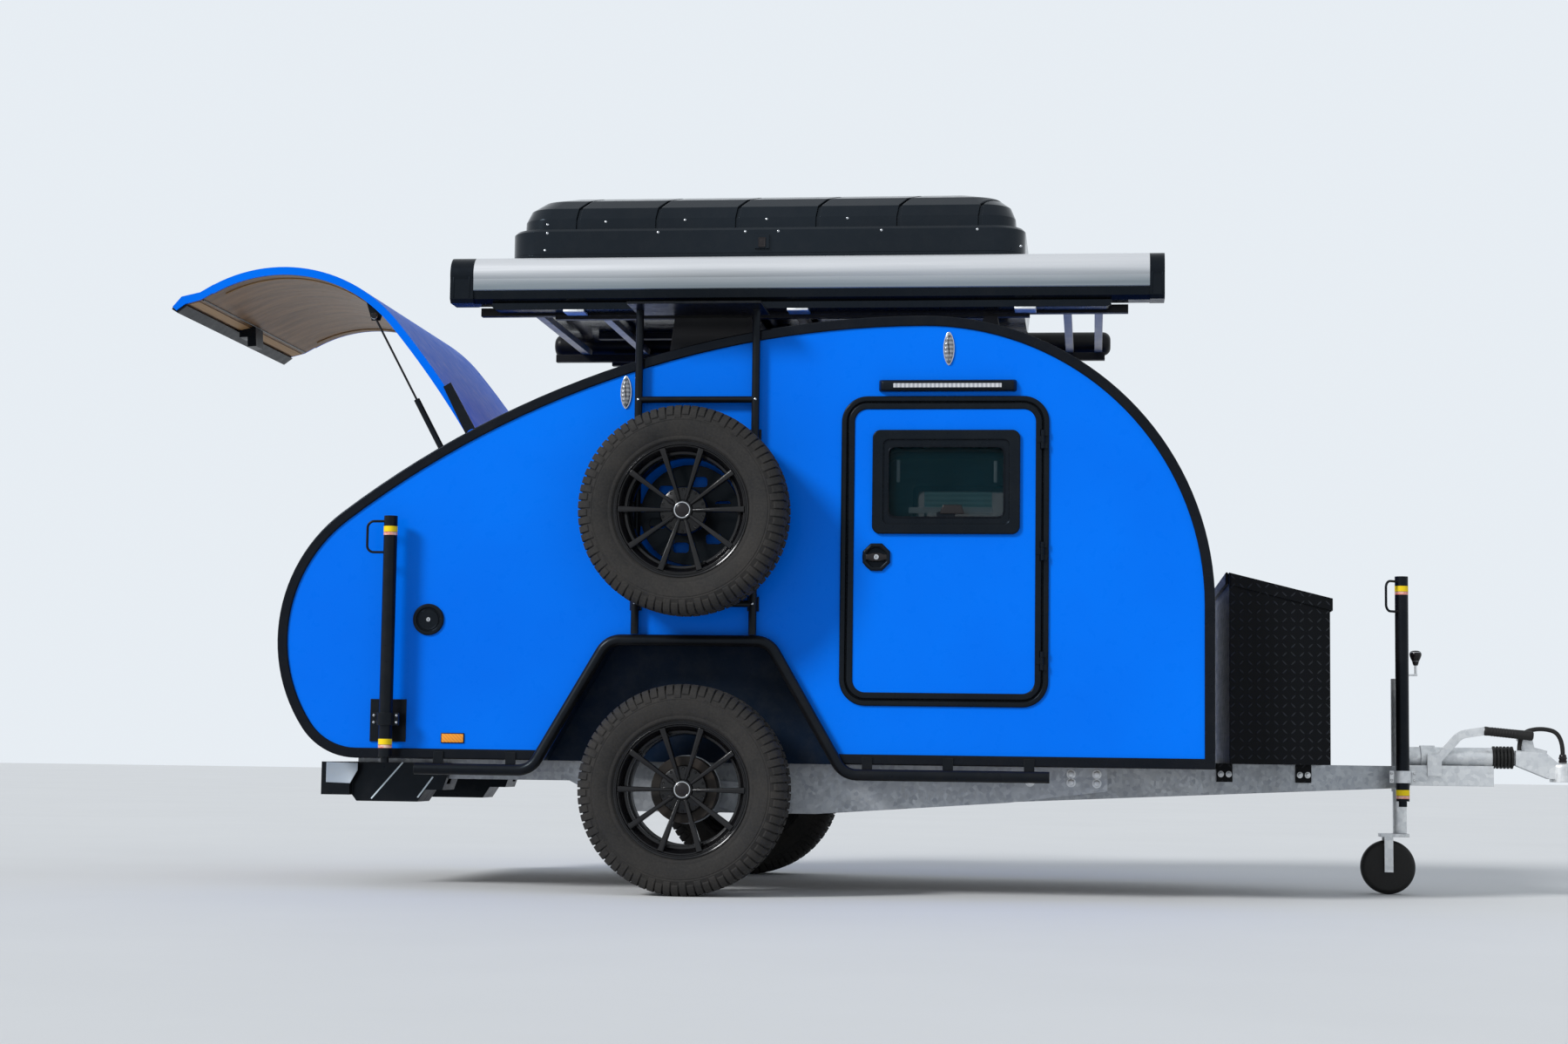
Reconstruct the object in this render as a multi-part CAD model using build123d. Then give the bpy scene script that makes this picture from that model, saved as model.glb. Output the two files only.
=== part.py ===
from build123d import *
import math
import os

os.makedirs("parts", exist_ok=True)

# Teardrop trailer in millimetres: +X towards the tow vehicle, +Y to the left, +Z up.
# The sizes below count x from the wheel axis, y from the centre plane and z from the ground.
# On export everything shifts so that the origin is the centre of the coupling's ball socket.

# Ball socket and towing height
ball_diameter = 50.0
socket_clearance = 0.1
socket_x = 3100.0
socket_z = 455.0

# Body shell
body_half_width = 780.0
wall_thickness = 34.0
skin_thickness = 30.0
body_bottom = 455.0
outline_start_x = -1202.0
# columns: arc radius, arc turn in degrees, from the lower rear corner over the roof to the nose
outline_arcs = [
    (242.0, 55.7),
    (565.0, 87.2),
    (3455.0, 37.0),
    (1010.0, 90.1),
]
trim_width = 36.0
trim_proud = 8.0
trim_round = 5.0
bulkhead_x = -420.0
board_thickness = 15.0
worktop_z = 950.0
worktop_rear = -1380.0
base_rear = -1330.0
base_z = 550.0
shelf_rear = -790.0
shelf_z = 1280.0
mattress_rear_x = -400.0
mattress_front_gap = 8.0
mattress_half_width = 630.0
mattress_height = 100.0
seat_gap = 0.3

# Wheels and axle
tyre_radius = 362.0
tyre_width = 225.0
bead_radius = 218.0
rim_width = 196.0
rim_lip_radius = 235.0
rim_inset = 30.0
spoke_count = 10
wheel_plane = body_half_width + 125.0
axle_tube_x = 165.0
axle_tube_z = 335.0
axle_tube_radius = 45.0
spindle_radius = 20.0
running_clearance = 0.05
arm_inner = wheel_plane - 215.0
arm_thickness = 45.0
drum_radius = 115.0

# Wheel arches and the tube that follows them
arch_top_z = 874.0
arch_top_half = 278.0
arch_bottom_half = 520.0
arch_centre_x = -12.0
arch_corner_radius = 60.0
well_inner = body_half_width - 120.0
well_thickness = 12.0
tube_radius = 20.0
tube_level_z = 420.0
tube_rear_x = -980.0
tube_front_x = 1250.0
tube_clip_places = [-900.0, -640.0, 620.0, 900.0, 1180.0]

# Hatch
hinge_x = -826.0
hinge_z = 1610.0
open_angle = 87.0
hatch_half_width = body_half_width - 125.0
hatch_gap = 9.0
hatch_thickness = 28.0
landing_drop = 33.0
landing_thickness = 10.0
landing_width = 24.0
hatch_front_gap = 14.0
sill_height = 60.0
lip_start_z = 640.0
pin_radius = 6.0
knuckle_radius = 34.0
ear_thickness = 6.0

# Gas struts of the hatch, given with the hatch open
strut_plane = hatch_half_width - 43.0
strut_foot = (-845.0, 1365.0)
strut_eye = (-1225.0, 2069.0)
cylinder_radius = 11.0
rod_radius = 4.0
rod_bore_clearance = 0.08
cylinder_length = 440.0
rod_inside = 60.0
stud_radius = 5.0
eye_half = 8.0

# Side doors
door_left_x = 518.0
door_right_x = 1244.0
door_bottom_z = 659.0
door_top_z = 1744.0
door_corner_radius = 91.0
door_frame_width = 20.0
door_frame_proud = 10.0
door_round = 6.0
door_gap = 5.0
door_edge_width = 22.0
door_edge_proud = 6.0
door_edge_round = 5.0
door_thickness = 36.0
window_centre = (886.0, 1441.0)
window_size = (515.0, 365.0)
window_cut = (440.0, 290.0)
window_step = (438.0, 295.0)
window_view = (402.0, 246.0)
window_proud = 14.0
window_step_proud = 6.0
pane_thickness = 5.0
latch_centre = (644.0, 1176.0)
latch_radius = 48.0
door_hinge_radius = 7.0
door_pin_radius = 3.0
door_hinge_heights = [820.0, 1200.0, 1590.0]

# Chassis and drawbar
beam_plane = 550.0
beam_width = 50.0
beam_wall = 5.0
beam_rear_x = -1250.0
beam_front_x = 1450.0
drawbar_rear_x = 1100.0
drawbar_rear_y = 520.0
drawbar_front_x = socket_x - 600.0
drawbar_front_y = 62.0
drawbar_top = 475.0
nose_clearance = 20.0
nose_half = 92.0
crossmember_size = 40.0
crossmember_top = body_bottom - beam_wall
crossmember_places = [-1180.0, -620.0, 620.0, 1180.0]

# Roof shell, with its lid's skirt, dome and curved grooves
shell_rear = -738.0
shell_front = 1150.0
shell_half_width = 570.0
shell_low = 2150.0
shell_split = 2299.0
shell_skirt_top = 2394.0
shell_high = 2580.0
shell_wall = 9.0
shell_corner = 110.0
shell_foot_inset = 14.0
shell_latch_x = 200.0
shell_hinge_places = [-400.0, 206.0, 812.0]
# columns: inset from the skirt, height above the skirt's top
dome_steps = [
    (34.0, 0.0), (37.0, 44.0), (54.0, 86.0), (96.0, 122.0), (160.0, 142.0), (300.0, 164.0),
    (480.0, 186.0),
]
groove_depth = 6.0
groove_width = 14.0
groove_places = [-505.0, -210.0, 85.0, 380.0, 675.0, 970.0]
# columns: inset from the shell's side, shift forwards of the groove there
groove_bend = [(-10.0, -8.0), (60.0, 18.0), (110.0, 58.0), (180.0, 98.0), (300.0, 124.0)]

# Roof rack and awning
rack_beam_plane = shell_half_width + 5.0
rack_beam_width = 30.0
rack_beam_low = 2056.0
rack_beam_high = 2098.0
rack_beam_rear = -554.0
rack_beam_front = 1169.0
rack_rail_rear = -780.0
rack_rail_front = 1440.0
crossbar_height = 25.0
crossbar_width = 30.0
crossbar_places = [-655.0, -414.0, -147.0, 125.0, 315.0, 568.0, 819.0, 1301.0, 1414.0]
awning_rear = -922.0
awning_front = 1644.0
awning_low = 2101.0
awning_split = 2145.0
awning_high = 2272.0
awning_outer = shell_half_width + 130.0
awning_depth = 108.0
awning_rear_cap = 86.0
awning_front_cap = 52.0
awning_rail_rear = -770.0
awning_rail_front = 1458.0
awning_rail_height = 25.0
awning_rail_back = 88.0
awning_bracket_places = [-468.0, 345.0, 1132.0]
awning_bracket_width = 60.0
pole_tube_radius = 47.0
pole_tube_plane = shell_half_width + 52.0
pole_tube_z = 2146.0
pole_tube_rear = -801.0
pole_tube_front = 1463.0

# Spare wheel and ladder on the right side
spare_centre = (-10.0, 1321.0)
spare_plane = body_half_width + 165.0
ladder_rail_radius = 14.0
ladder_plane = body_half_width + 26.0
ladder_rail_places = [-203.0, 214.0]
ladder_low = 900.8
ladder_high = 2049.0
step_plate_outer = ladder_plane + 144.0
step_plate_inner = ladder_plane - 102.0
step_plate_thickness = 8.0
step_plate_rear = -226.0
step_plate_front = 246.0
rung_z = 1730.0
carrier_radius = 176.0
carrier_slots = 6
carrier_slot_size = (56.0, 36.0)
slot_circle = 120.0

# Rear light bar
light_rear_x = -1367.0
light_front_x = -1262.0
light_half = 640.0
light_low_z = 322.0
light_top_z = 440.0
light_box_z = 300.0

# Prop stands
stand_radius = 24.0
stand_foot_radius = 15.0
stand_foot_height = 20.0
handle_radius = 4.5
handle_reach = 84.0
handle_high = 19.0
handle_low = 129.0
handle_bend = 24.0
rear_stand_x = -1078.0
rear_stand_plane = body_half_width + 70.0
rear_stand_low = 440.0
rear_stand_length = 871.0
rear_clamp_z = 593.0
front_clamp_z = 436.0
front_stand_x = drawbar_front_x + 13.0
front_stand_plane = 150.0
front_stand_low = 328.0
front_stand_length = 835.0
front_stand_turn = 43.0
clamp_clearance = 0.4
clamp_height = 44.0
clamp_ear_reach = 47.0
clamp_ear_half = 7.0

# Toolbox on the drawbar, held by brackets that hang over the drawbar's outer webs
box_rear_x = 1873.0
box_front_x = 2222.0
box_half_width = 550.0
box_low = drawbar_top + seat_gap
box_rear_z = 1143.0
box_front_z = 1056.0
box_sheet = 3.0
lid_lip = 40.0
bracket_places = [1859.0, 2146.0]
bracket_half = 29.5
bracket_sheet = 6.0
bracket_low = 410.0

# Overrun device, coupling and jockey wheel
drawtube_radius = 25.0
drawtube_z = socket_z + 56.0
housing_rear_x = drawbar_front_x + 46.0
housing_front_x = drawbar_front_x + 350.0
bellows_length = 77.0
bellows_radius = 41.0
bellows_ribs = 6
cable_radius = 8.0
cable_bend = 64.0
jockey_x = drawbar_front_x + 35.0
jockey_plane = 150.0
jockey_tube_radius = 30.0
jockey_wheel_radius = 100.0
jockey_trail = 45.0
crank_reach = 62.0


def keep(name, shape):
    placed = Pos(-socket_x, 0, -socket_z) * shape
    export_step(placed, f"parts/{name}.step")


def block(x_low, x_high, y_low, y_high, z_low, z_high):
    middle = Pos((x_low + x_high) / 2, (y_low + y_high) / 2, (z_low + z_high) / 2)
    return middle * Box(x_high - x_low, y_high - y_low, z_high - z_low)


def side_prism(sketch, y_low, y_high):
    return Pos(0, y_high, 0) * extrude(Plane.XZ * sketch, amount=y_high - y_low)


# A side prism whose edges at its outer face, the one towards the right, are rounded
def soft_prism(sketch, y_low, y_high, radius):
    prism = side_prism(sketch, y_low, y_high)
    rim = prism.edges().filter_by_position(Axis.Y, y_low - 0.01, y_low + 0.01)
    return fillet(rim, radius)


def polygon(*points):
    return make_face(Polyline(*points, close=True).edges())


def along_y(x, y, z, radius, length):
    return Pos(x, y, z) * Rot(90, 0, 0) * Cylinder(radius, length)


def along_x(x, y, z, radius, length):
    return Pos(x, y, z) * Rot(0, 90, 0) * Cylinder(radius, length)


def other_side(shape):
    return mirror(shape, about=Plane.XZ)


def both_sides(shape):
    return Compound([shape, other_side(shape)])


def rounded_frame(x_low, x_high, z_low, z_high, radius):
    centre = Pos((x_low + x_high) / 2, (z_low + z_high) / 2)
    return centre * RectangleRounded(x_high - x_low, z_high - z_low, radius)


# The body's side outline: a chain of tangent arcs, closed by the floor line
def outline_edges(inset=0.0):
    point = Vector(outline_start_x, body_bottom + inset)
    heading = Vector(-1, 0)
    edges = []
    for radius, turn in outline_arcs:
        arc = JernArc(start=point, tangent=heading, radius=radius - inset, arc_size=-turn)
        edges.append(arc)
        point = arc @ 1
        heading = arc % 1
    return edges


# Everything inside the shell at a given depth, open below the floor line
def shell_room(inset=0.0):
    edges = outline_edges(inset)
    nose = edges[-1] @ 1
    below = Vector(nose.X, body_bottom - 3 * skin_thickness)
    return make_face([
        *edges,
        Line(nose, below),
        Line(below, Vector(outline_start_x, below.Y)),
        Line(Vector(outline_start_x, below.Y), edges[0] @ 0),
    ])


def outline_face(inset=0.0):
    far = 4000.0
    above_floor = Pos(0, body_bottom + inset + far / 2) * Rectangle(2 * far, far)
    return shell_room(inset) & above_floor


outline = outline_face()
nose_x = outline.bounding_box().max.X
skin_inner = shell_room(skin_thickness)
landing_outer = shell_room(landing_drop)
landing_inner = shell_room(landing_drop + landing_thickness)
cabin_half = body_half_width - wall_thickness
floor_top = body_bottom + wall_thickness


def arch_sketch(grow=0.0):
    low = body_bottom - 60.0
    slope = (arch_bottom_half - arch_top_half) / (arch_top_z - body_bottom)
    low_half = arch_bottom_half + slope * (body_bottom - low)
    flare = grow * math.hypot(1, slope)
    shape = polygon(
        (arch_centre_x - low_half - flare, low),
        (arch_centre_x - arch_top_half - flare + grow * slope, arch_top_z + grow),
        (arch_centre_x + arch_top_half + flare - grow * slope, arch_top_z + grow),
        (arch_centre_x + low_half + flare, low),
    )
    top_corners = shape.vertices().sort_by(Axis.Y)[-2:]
    return fillet(top_corners, arch_corner_radius + grow)


door_outer = rounded_frame(door_left_x, door_right_x, door_bottom_z, door_top_z, door_corner_radius)
door_inner = rounded_frame(
    door_left_x + door_frame_width, door_right_x - door_frame_width,
    door_bottom_z + door_frame_width, door_top_z - door_frame_width,
    door_corner_radius - door_frame_width,
)
leaf_inset = door_frame_width + door_gap
door_leaf = rounded_frame(
    door_left_x + leaf_inset, door_right_x - leaf_inset,
    door_bottom_z + leaf_inset, door_top_z - leaf_inset,
    door_corner_radius - leaf_inset,
)
panel_inset = leaf_inset + door_edge_width
door_panel = rounded_frame(
    door_left_x + panel_inset, door_right_x - panel_inset,
    door_bottom_z + panel_inset, door_top_z - panel_inset,
    door_corner_radius - panel_inset,
)


# Side wall: the whole teardrop with its door opening and wheel arch cut through
def side_wall():
    face = outline - door_inner - arch_sketch()
    return side_prism(face, -body_half_width, -cabin_half)


wall = side_wall()
keep("side_wall_right", wall)
keep("side_wall_left", other_side(wall))

# Roof skin: from the floor up the nose and back over the roof to the hatch hinge
shell_ring = outline - skin_inner
roof_end_x = hinge_x + 38.0
front_region = Pos(roof_end_x + 2000, floor_top + 2000) * Rectangle(4000, 4000)
keep("roof_skin", side_prism(shell_ring & front_region, -cabin_half, cabin_half))

# Hatch surround: side strips, the landing that the hatch's seal meets, header and sill
rear_region = Pos(roof_end_x - 2000, floor_top + 2000) * Rectangle(4000, 4000)
strip_face = (outline - landing_inner) & rear_region
landing_face = (landing_outer - landing_inner) & rear_region
opening_half = hatch_half_width + hatch_gap
strip = side_prism(strip_face, -cabin_half, -opening_half)
landing = side_prism(landing_face, -opening_half, -opening_half + landing_width)
header_region = Pos(roof_end_x - 60, hinge_z) * Rectangle(120, 400)
header = side_prism(landing_face & header_region, -opening_half, opening_half)
sill_region = Pos(outline_start_x - 100, floor_top + sill_height / 2) * Rectangle(600, sill_height)
sill = side_prism(landing_face & sill_region, -opening_half, opening_half)
slot_width = 2 * hatch_gap
hinge_slot = along_y(hinge_x, -opening_half + slot_width / 2, hinge_z, knuckle_radius + 5, slot_width)
hinge_pin = along_y(hinge_x, -hatch_half_width - 6, hinge_z, pin_radius, 24)
pin_ear = along_y(hinge_x, -opening_half - 6, hinge_z, knuckle_radius, 8)
surround = strip + landing + other_side(strip + landing) + header + sill
hinge_arm_face = polygon(
    (hinge_x, hinge_z + 20), (hinge_x - 210, hinge_z - 84), (hinge_x - 196, hinge_z - 112),
    (hinge_x, hinge_z - 26),
)
hinge_slot += side_prism(offset(hinge_arm_face, amount=hatch_gap), -opening_half, -opening_half + slot_width)
surround -= hinge_slot + other_side(hinge_slot)
surround += pin_ear + hinge_pin + other_side(pin_ear + hinge_pin)
keep("hatch_surround", surround)

# Floor between the side walls, with the wheel wells let in
floor_band = Pos(0, body_bottom + wall_thickness / 2) * Rectangle(8000, wall_thickness)
floor = side_prism(outline & floor_band, -cabin_half, cabin_half)
well_end = -well_inner + well_thickness
well_room = side_prism(arch_sketch(well_thickness + seat_gap), -cabin_half - 1, well_end + seat_gap)
floor -= well_room + other_side(well_room)
keep("floor_panel", floor)

# Wheel wells: sheet boxes that close each arch on the inside
well_band = Pos(0, body_bottom + 1000) * Rectangle(8000, 2000)
well_outer = side_prism(arch_sketch(well_thickness) & well_band, -cabin_half + seat_gap, well_end)
well_inside = side_prism(arch_sketch(), -body_half_width, -well_inner)
keep("wheel_wells", both_sides(well_outer - well_inside))


# Edge trims: a proud band round each side wall
def edge_trim():
    band = outline - outline_face(trim_width) - arch_sketch()
    return soft_prism(band, -body_half_width - trim_proud, -body_half_width, trim_round)


keep("edge_trims", both_sides(edge_trim()))


# Tube that runs level under the sill and follows the arch, with flattened ends
def side_tube():
    slope = (arch_bottom_half - arch_top_half) / (arch_top_z - body_bottom)
    rise = arch_top_z - tube_level_z
    top_z = arch_top_z + 6.0
    foot = arch_top_half + slope * rise
    route = [
        (tube_rear_x, tube_level_z),
        (arch_centre_x - foot - 12, tube_level_z),
        (arch_centre_x - arch_top_half - 6, top_z),
        (arch_centre_x + arch_top_half + 6, top_z),
        (arch_centre_x + foot + 12, tube_level_z),
        (tube_front_x, tube_level_z),
    ]
    bend = arch_corner_radius + tube_radius
    path = FilletPolyline(*[Vector(x, 0, z) for x, z in route], radius=bend)
    start = Plane(origin=path @ 0, z_dir=path % 0)
    bar = sweep(start * Circle(tube_radius), path=path)
    return Pos(0, -body_half_width - trim_proud - tube_radius - seat_gap, 0) * bar


tube = side_tube()
clip_face = -body_half_width - trim_proud - seat_gap
for place in tube_clip_places:
    tube += block(place - 18, place + 18, clip_face - 6, clip_face, tube_level_z, 482)
keep("side_tubes", both_sides(tube))


# Galley behind the bulkhead: side cheeks, worktop, dividers and shelves
def galley():
    cheek_outer = hatch_half_width - board_thickness
    inside = shell_room(landing_drop + landing_thickness + seat_gap)
    aft = Pos(bulkhead_x - 2000, floor_top + 2000) * Rectangle(4000, 4000)
    cheek = side_prism(inside & aft, -cheek_outer - board_thickness, -cheek_outer)
    cheek -= side_prism(arch_sketch(well_thickness + seat_gap), -cabin_half, -cheek_outer + 1)
    wall_region = Pos(bulkhead_x - board_thickness / 2, floor_top + 1000) * Rectangle(board_thickness, 2000)
    bulkhead = side_prism(inside & wall_region, -cabin_half + seat_gap, cabin_half - seat_gap)
    bulkhead -= well_room + other_side(well_room)
    boards = bulkhead + cheek + other_side(cheek)
    boards += block(worktop_rear, bulkhead_x, -cheek_outer, cheek_outer, worktop_z - 20, worktop_z)
    boards += block(base_rear, bulkhead_x, -cheek_outer, cheek_outer, base_z, base_z + board_thickness)
    plinth_x = outline_start_x + 7
    boards += block(plinth_x, plinth_x + board_thickness, -cheek_outer, cheek_outer, floor_top, base_z)
    for place in (-cheek_outer / 3, cheek_outer / 3):
        half = board_thickness / 2
        boards += block(base_rear, bulkhead_x, place - half, place + half, base_z, worktop_z - 20)
    boards += block(shelf_rear, bulkhead_x, -cheek_outer, cheek_outer, shelf_z, shelf_z + board_thickness)
    stud_length = cheek_outer - strut_plane + 10
    stud = along_y(strut_foot[0], -cheek_outer + stud_length / 2, strut_foot[1], stud_radius, stud_length)
    return boards + stud + other_side(stud)


keep("galley_cabinet", galley())

# Mattress in the cabin, a plain soft block
mattress_front_x = nose_x - skin_thickness - mattress_front_gap
keep("mattress", block(
    mattress_rear_x, mattress_front_x, -mattress_half_width, mattress_half_width,
    floor_top + seat_gap, floor_top + mattress_height,
))


# Door frames on both sides, each with the fixed halves of its hinges
hinge_axis_x = door_right_x - door_frame_width - door_gap / 2
hinge_axis_y = -body_half_width - door_frame_proud - door_hinge_radius


def door_frame():
    face_y = -body_half_width - door_frame_proud
    face_plate = soft_prism(door_outer - door_inner, face_y, -body_half_width, door_round)
    lining = door_inner - rounded_frame(
        door_left_x + door_frame_width + 3, door_right_x - door_frame_width - 3,
        door_bottom_z + door_frame_width + 3, door_top_z - door_frame_width - 3,
        door_corner_radius - door_frame_width - 3,
    )
    frame = face_plate + side_prism(lining, -body_half_width, -cabin_half)
    stop_ring = door_inner - rounded_frame(
        door_left_x + door_frame_width + 25, door_right_x - door_frame_width - 25,
        door_bottom_z + door_frame_width + 25, door_top_z - door_frame_width - 25,
        door_corner_radius - door_frame_width - 25,
    )
    frame += side_prism(stop_ring, -cabin_half, -cabin_half + 6)
    for height in door_hinge_heights:
        for step in (-1, 1):
            barrel = Pos(hinge_axis_x, hinge_axis_y, height + step * 22) * Cylinder(door_hinge_radius, 20)
            strap = block(
                hinge_axis_x, hinge_axis_x + 18, hinge_axis_y, face_y,
                height + step * 22 - 10, height + step * 22 + 10,
            )
            frame += barrel + strap
        frame += Pos(hinge_axis_x, hinge_axis_y, height) * Cylinder(door_pin_radius, 60)
    return frame


keep("door_frames", both_sides(door_frame()))


# Door leaf: panel with its window cut, black edge with hinge halves, window frame and latch
def door_pieces():
    window_low_z = window_centre[1] - window_view[1] / 2
    outer_y = -body_half_width - door_frame_proud + 2
    inner_y = outer_y + door_thickness
    window_hole = Pos(*window_centre) * RectangleRounded(*window_cut, 20)
    latch_hole = Pos(*latch_centre) * Circle(latch_radius - 6)
    panel = side_prism(door_panel - window_hole - latch_hole, outer_y, inner_y)
    edge = side_prism(door_leaf - door_panel, outer_y, inner_y)
    raised = soft_prism(door_leaf - door_panel, outer_y - door_edge_proud, outer_y, door_edge_round)
    for height in door_hinge_heights:
        raised -= Pos(hinge_axis_x, hinge_axis_y, height) * Cylinder(door_hinge_radius + 2, 70)
    edge += raised
    for height in door_hinge_heights:
        barrel = Pos(hinge_axis_x, hinge_axis_y, height) * Cylinder(door_hinge_radius, 23)
        strap = block(hinge_axis_x - 22, hinge_axis_x, hinge_axis_y, outer_y, height - 11.5, height + 11.5)
        bore = Pos(hinge_axis_x, hinge_axis_y, height) * Cylinder(door_pin_radius + running_clearance, 30)
        edge += (barrel + strap) - bore
    window_outline = Pos(*window_centre) * RectangleRounded(*window_size, 28)
    window_ledge = Pos(*window_centre) * RectangleRounded(*window_step, 20)
    window_sight = Pos(*window_centre) * RectangleRounded(*window_view, 14)
    window_frame = soft_prism(window_outline - window_ledge, outer_y - window_proud, outer_y, 5)
    window_frame += side_prism(window_outline - window_sight, outer_y - window_step_proud, outer_y)
    window_frame += side_prism(window_hole - window_sight, outer_y, inner_y)
    window_catch = Pos(window_centre[0], window_low_z + 9) * RectangleRounded(64, 18, 5)
    window_frame += side_prism(window_catch, outer_y - 4, outer_y + 8)
    latch = side_prism(Pos(*latch_centre) * Circle(latch_radius), outer_y - 8, outer_y)
    latch += side_prism(Pos(*latch_centre) * Circle(latch_radius - 7), outer_y, inner_y)
    latch -= side_prism(Pos(*latch_centre) * Circle(36), outer_y - 9, outer_y + 12)
    latch += side_prism(Pos(*latch_centre) * RectangleRounded(62, 26, 8), outer_y - 6, outer_y + 13)
    latch &= side_prism(Pos(*latch_centre) * Circle(latch_radius), outer_y - 20, inner_y)
    pane_y = (outer_y + inner_y) / 2
    pane = side_prism(window_sight, pane_y - pane_thickness, pane_y)
    return panel, Compound([edge, window_frame, latch]), pane


panel, fittings, pane = door_pieces()
keep("door_right", panel)
keep("door_right_fittings", fittings)
keep("door_right_pane", pane)
keep("door_left", other_side(panel))
keep("door_left_fittings", other_side(fittings))
keep("door_left_pane", other_side(pane))


# Hatch: modelled closed along the body's outline, then turned open about its hinge
def hatch_open(shape):
    at_hinge = Pos(-hinge_x, 0, -hinge_z) * shape
    return Pos(hinge_x, 0, hinge_z) * (Rot(0, open_angle, 0) * at_hinge)


def hatch_pieces():
    inner = outline_face(hatch_thickness)
    reach = Pos(hinge_x - hatch_front_gap - 2000, lip_start_z + 2000) * Rectangle(4000, 4000)
    skin = (outline - inner) & reach
    lip = polygon(
        (-1450, lip_start_z + 4), (-1424, 592), (-1412, 521), (-1376, 486), (-1362, 500),
        (-1384, 534), (-1396, 592), (-1421, lip_start_z + 4),
    )
    panel = side_prism(skin + lip, -hatch_half_width, hatch_half_width)
    handle = side_prism(
        polygon((-1376, 486), (-1362, 500), (-1384, 534), (-1377, 540), (-1353, 503), (-1368, 482)),
        -hatch_half_width + 5, hatch_half_width - 5,
    )
    catch = block(-1392, -1356, -45, 45, 540, 606) + block(-1360, -1318, -45, 45, 572, 606)
    catch -= side_prism(lip, -46, 46)
    ear_y = -hatch_half_width - seat_gap - ear_thickness / 2
    ear = along_y(hinge_x, ear_y, hinge_z, knuckle_radius, ear_thickness)
    ear_bore = along_y(hinge_x, -hatch_half_width, hinge_z, pin_radius + running_clearance, 60)
    arm = side_prism(hinge_arm_face, ear_y - ear_thickness / 2, ear_y + ear_thickness / 2)
    hinge_arm = (ear + arm) - ear_bore
    return panel, handle, catch, hinge_arm


# Bracket under the open hatch, whose stud ends just short of the rod's eye
def strut_bracket():
    x, z = strut_eye
    plate_y = -strut_plane + eye_half + 14
    plate_face = polygon((x - 16, z - 14), (x + 16, z - 14), (x + 60, z + 130), (x - 60, z + 130))
    plate = side_prism(plate_face, plate_y, plate_y + 4)
    room = side_prism(shell_room(hatch_thickness + seat_gap), -hatch_half_width, hatch_half_width)
    stud_start = -strut_plane + eye_half + seat_gap
    stud = along_y(x, (stud_start + plate_y) / 2 + 1, z, stud_radius, plate_y - stud_start + 2)
    return (plate & hatch_open(room)) + stud


hatch_panel, lip_handle, lip_catch, hinge_arm = hatch_pieces()
keep("hatch_panel", hatch_open(hatch_panel))
bracket = strut_bracket()
fitting_solids = [hatch_open(piece) for piece in (lip_handle, lip_catch, hinge_arm, other_side(hinge_arm))]
keep("hatch_fittings", Compound(fitting_solids + [bracket, other_side(bracket)]))


# Gas struts: each cylinder swings on a stud at its foot, and its rod slides to the hatch
def strut_frame():
    foot = Vector(strut_foot[0], -strut_plane, strut_foot[1])
    eye = Vector(strut_eye[0], -strut_plane, strut_eye[1])
    return Plane(origin=foot, z_dir=(eye - foot)), (eye - foot).length


def strut_pieces():
    plane, reach = strut_frame()
    tube = Pos(0, 0, 8 + cylinder_length / 2) * Cylinder(cylinder_radius, cylinder_length)
    bore = Pos(0, 0, 34 + cylinder_length / 2) * Cylinder(rod_radius + rod_bore_clearance, cylinder_length)
    foot_bore = along_y(strut_foot[0], -strut_plane, strut_foot[1], stud_radius + running_clearance, 60)
    cylinder = plane.location * (tube + Sphere(12) - bore) - foot_bore
    rod_start = 8 + cylinder_length - rod_inside
    rod = plane.location * (Pos(0, 0, (rod_start + reach) / 2) * Cylinder(rod_radius, reach - rod_start))
    rod += along_y(strut_eye[0], -strut_plane, strut_eye[1], 11, 2 * eye_half)
    return cylinder, rod


cylinder, rod = strut_pieces()
keep("strut_cylinders", both_sides(cylinder))
keep("strut_rods", both_sides(rod))


# Wheels: the outboard face of the right wheel looks to -Y
def tyre():
    half = tyre_width / 2
    profile = make_face([
        Line((bead_radius, -rim_width / 2 + 12), (bead_radius + 24, -rim_width / 2 + 6)),
        ThreePointArc(
            (bead_radius + 24, -rim_width / 2 + 6), (tyre_radius - 66, -half), (tyre_radius - 22, -half + 12)
        ),
        Line((tyre_radius - 22, -half + 12), (tyre_radius - 4, -half + 24)),
        ThreePointArc((tyre_radius - 4, -half + 24), (tyre_radius, 0), (tyre_radius - 4, half - 24)),
        Line((tyre_radius - 4, half - 24), (tyre_radius - 22, half - 12)),
        ThreePointArc(
            (tyre_radius - 22, half - 12), (tyre_radius - 66, half), (bead_radius + 24, rim_width / 2 - 6)
        ),
        Line((bead_radius + 24, rim_width / 2 - 6), (bead_radius, rim_width / 2 - 12)),
        Line((bead_radius, rim_width / 2 - 12), (bead_radius, rim_width / 2 - 34)),
        Line((bead_radius, rim_width / 2 - 34), (tyre_radius - 22, half - 44)),
        Line((tyre_radius - 22, half - 44), (tyre_radius - 22, -half + 44)),
        Line((tyre_radius - 22, -half + 44), (bead_radius, -rim_width / 2 + 34)),
        Line((bead_radius, -rim_width / 2 + 34), (bead_radius, -rim_width / 2 + 12)),
    ])
    return revolve(profile, axis=Axis.Y)


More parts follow.
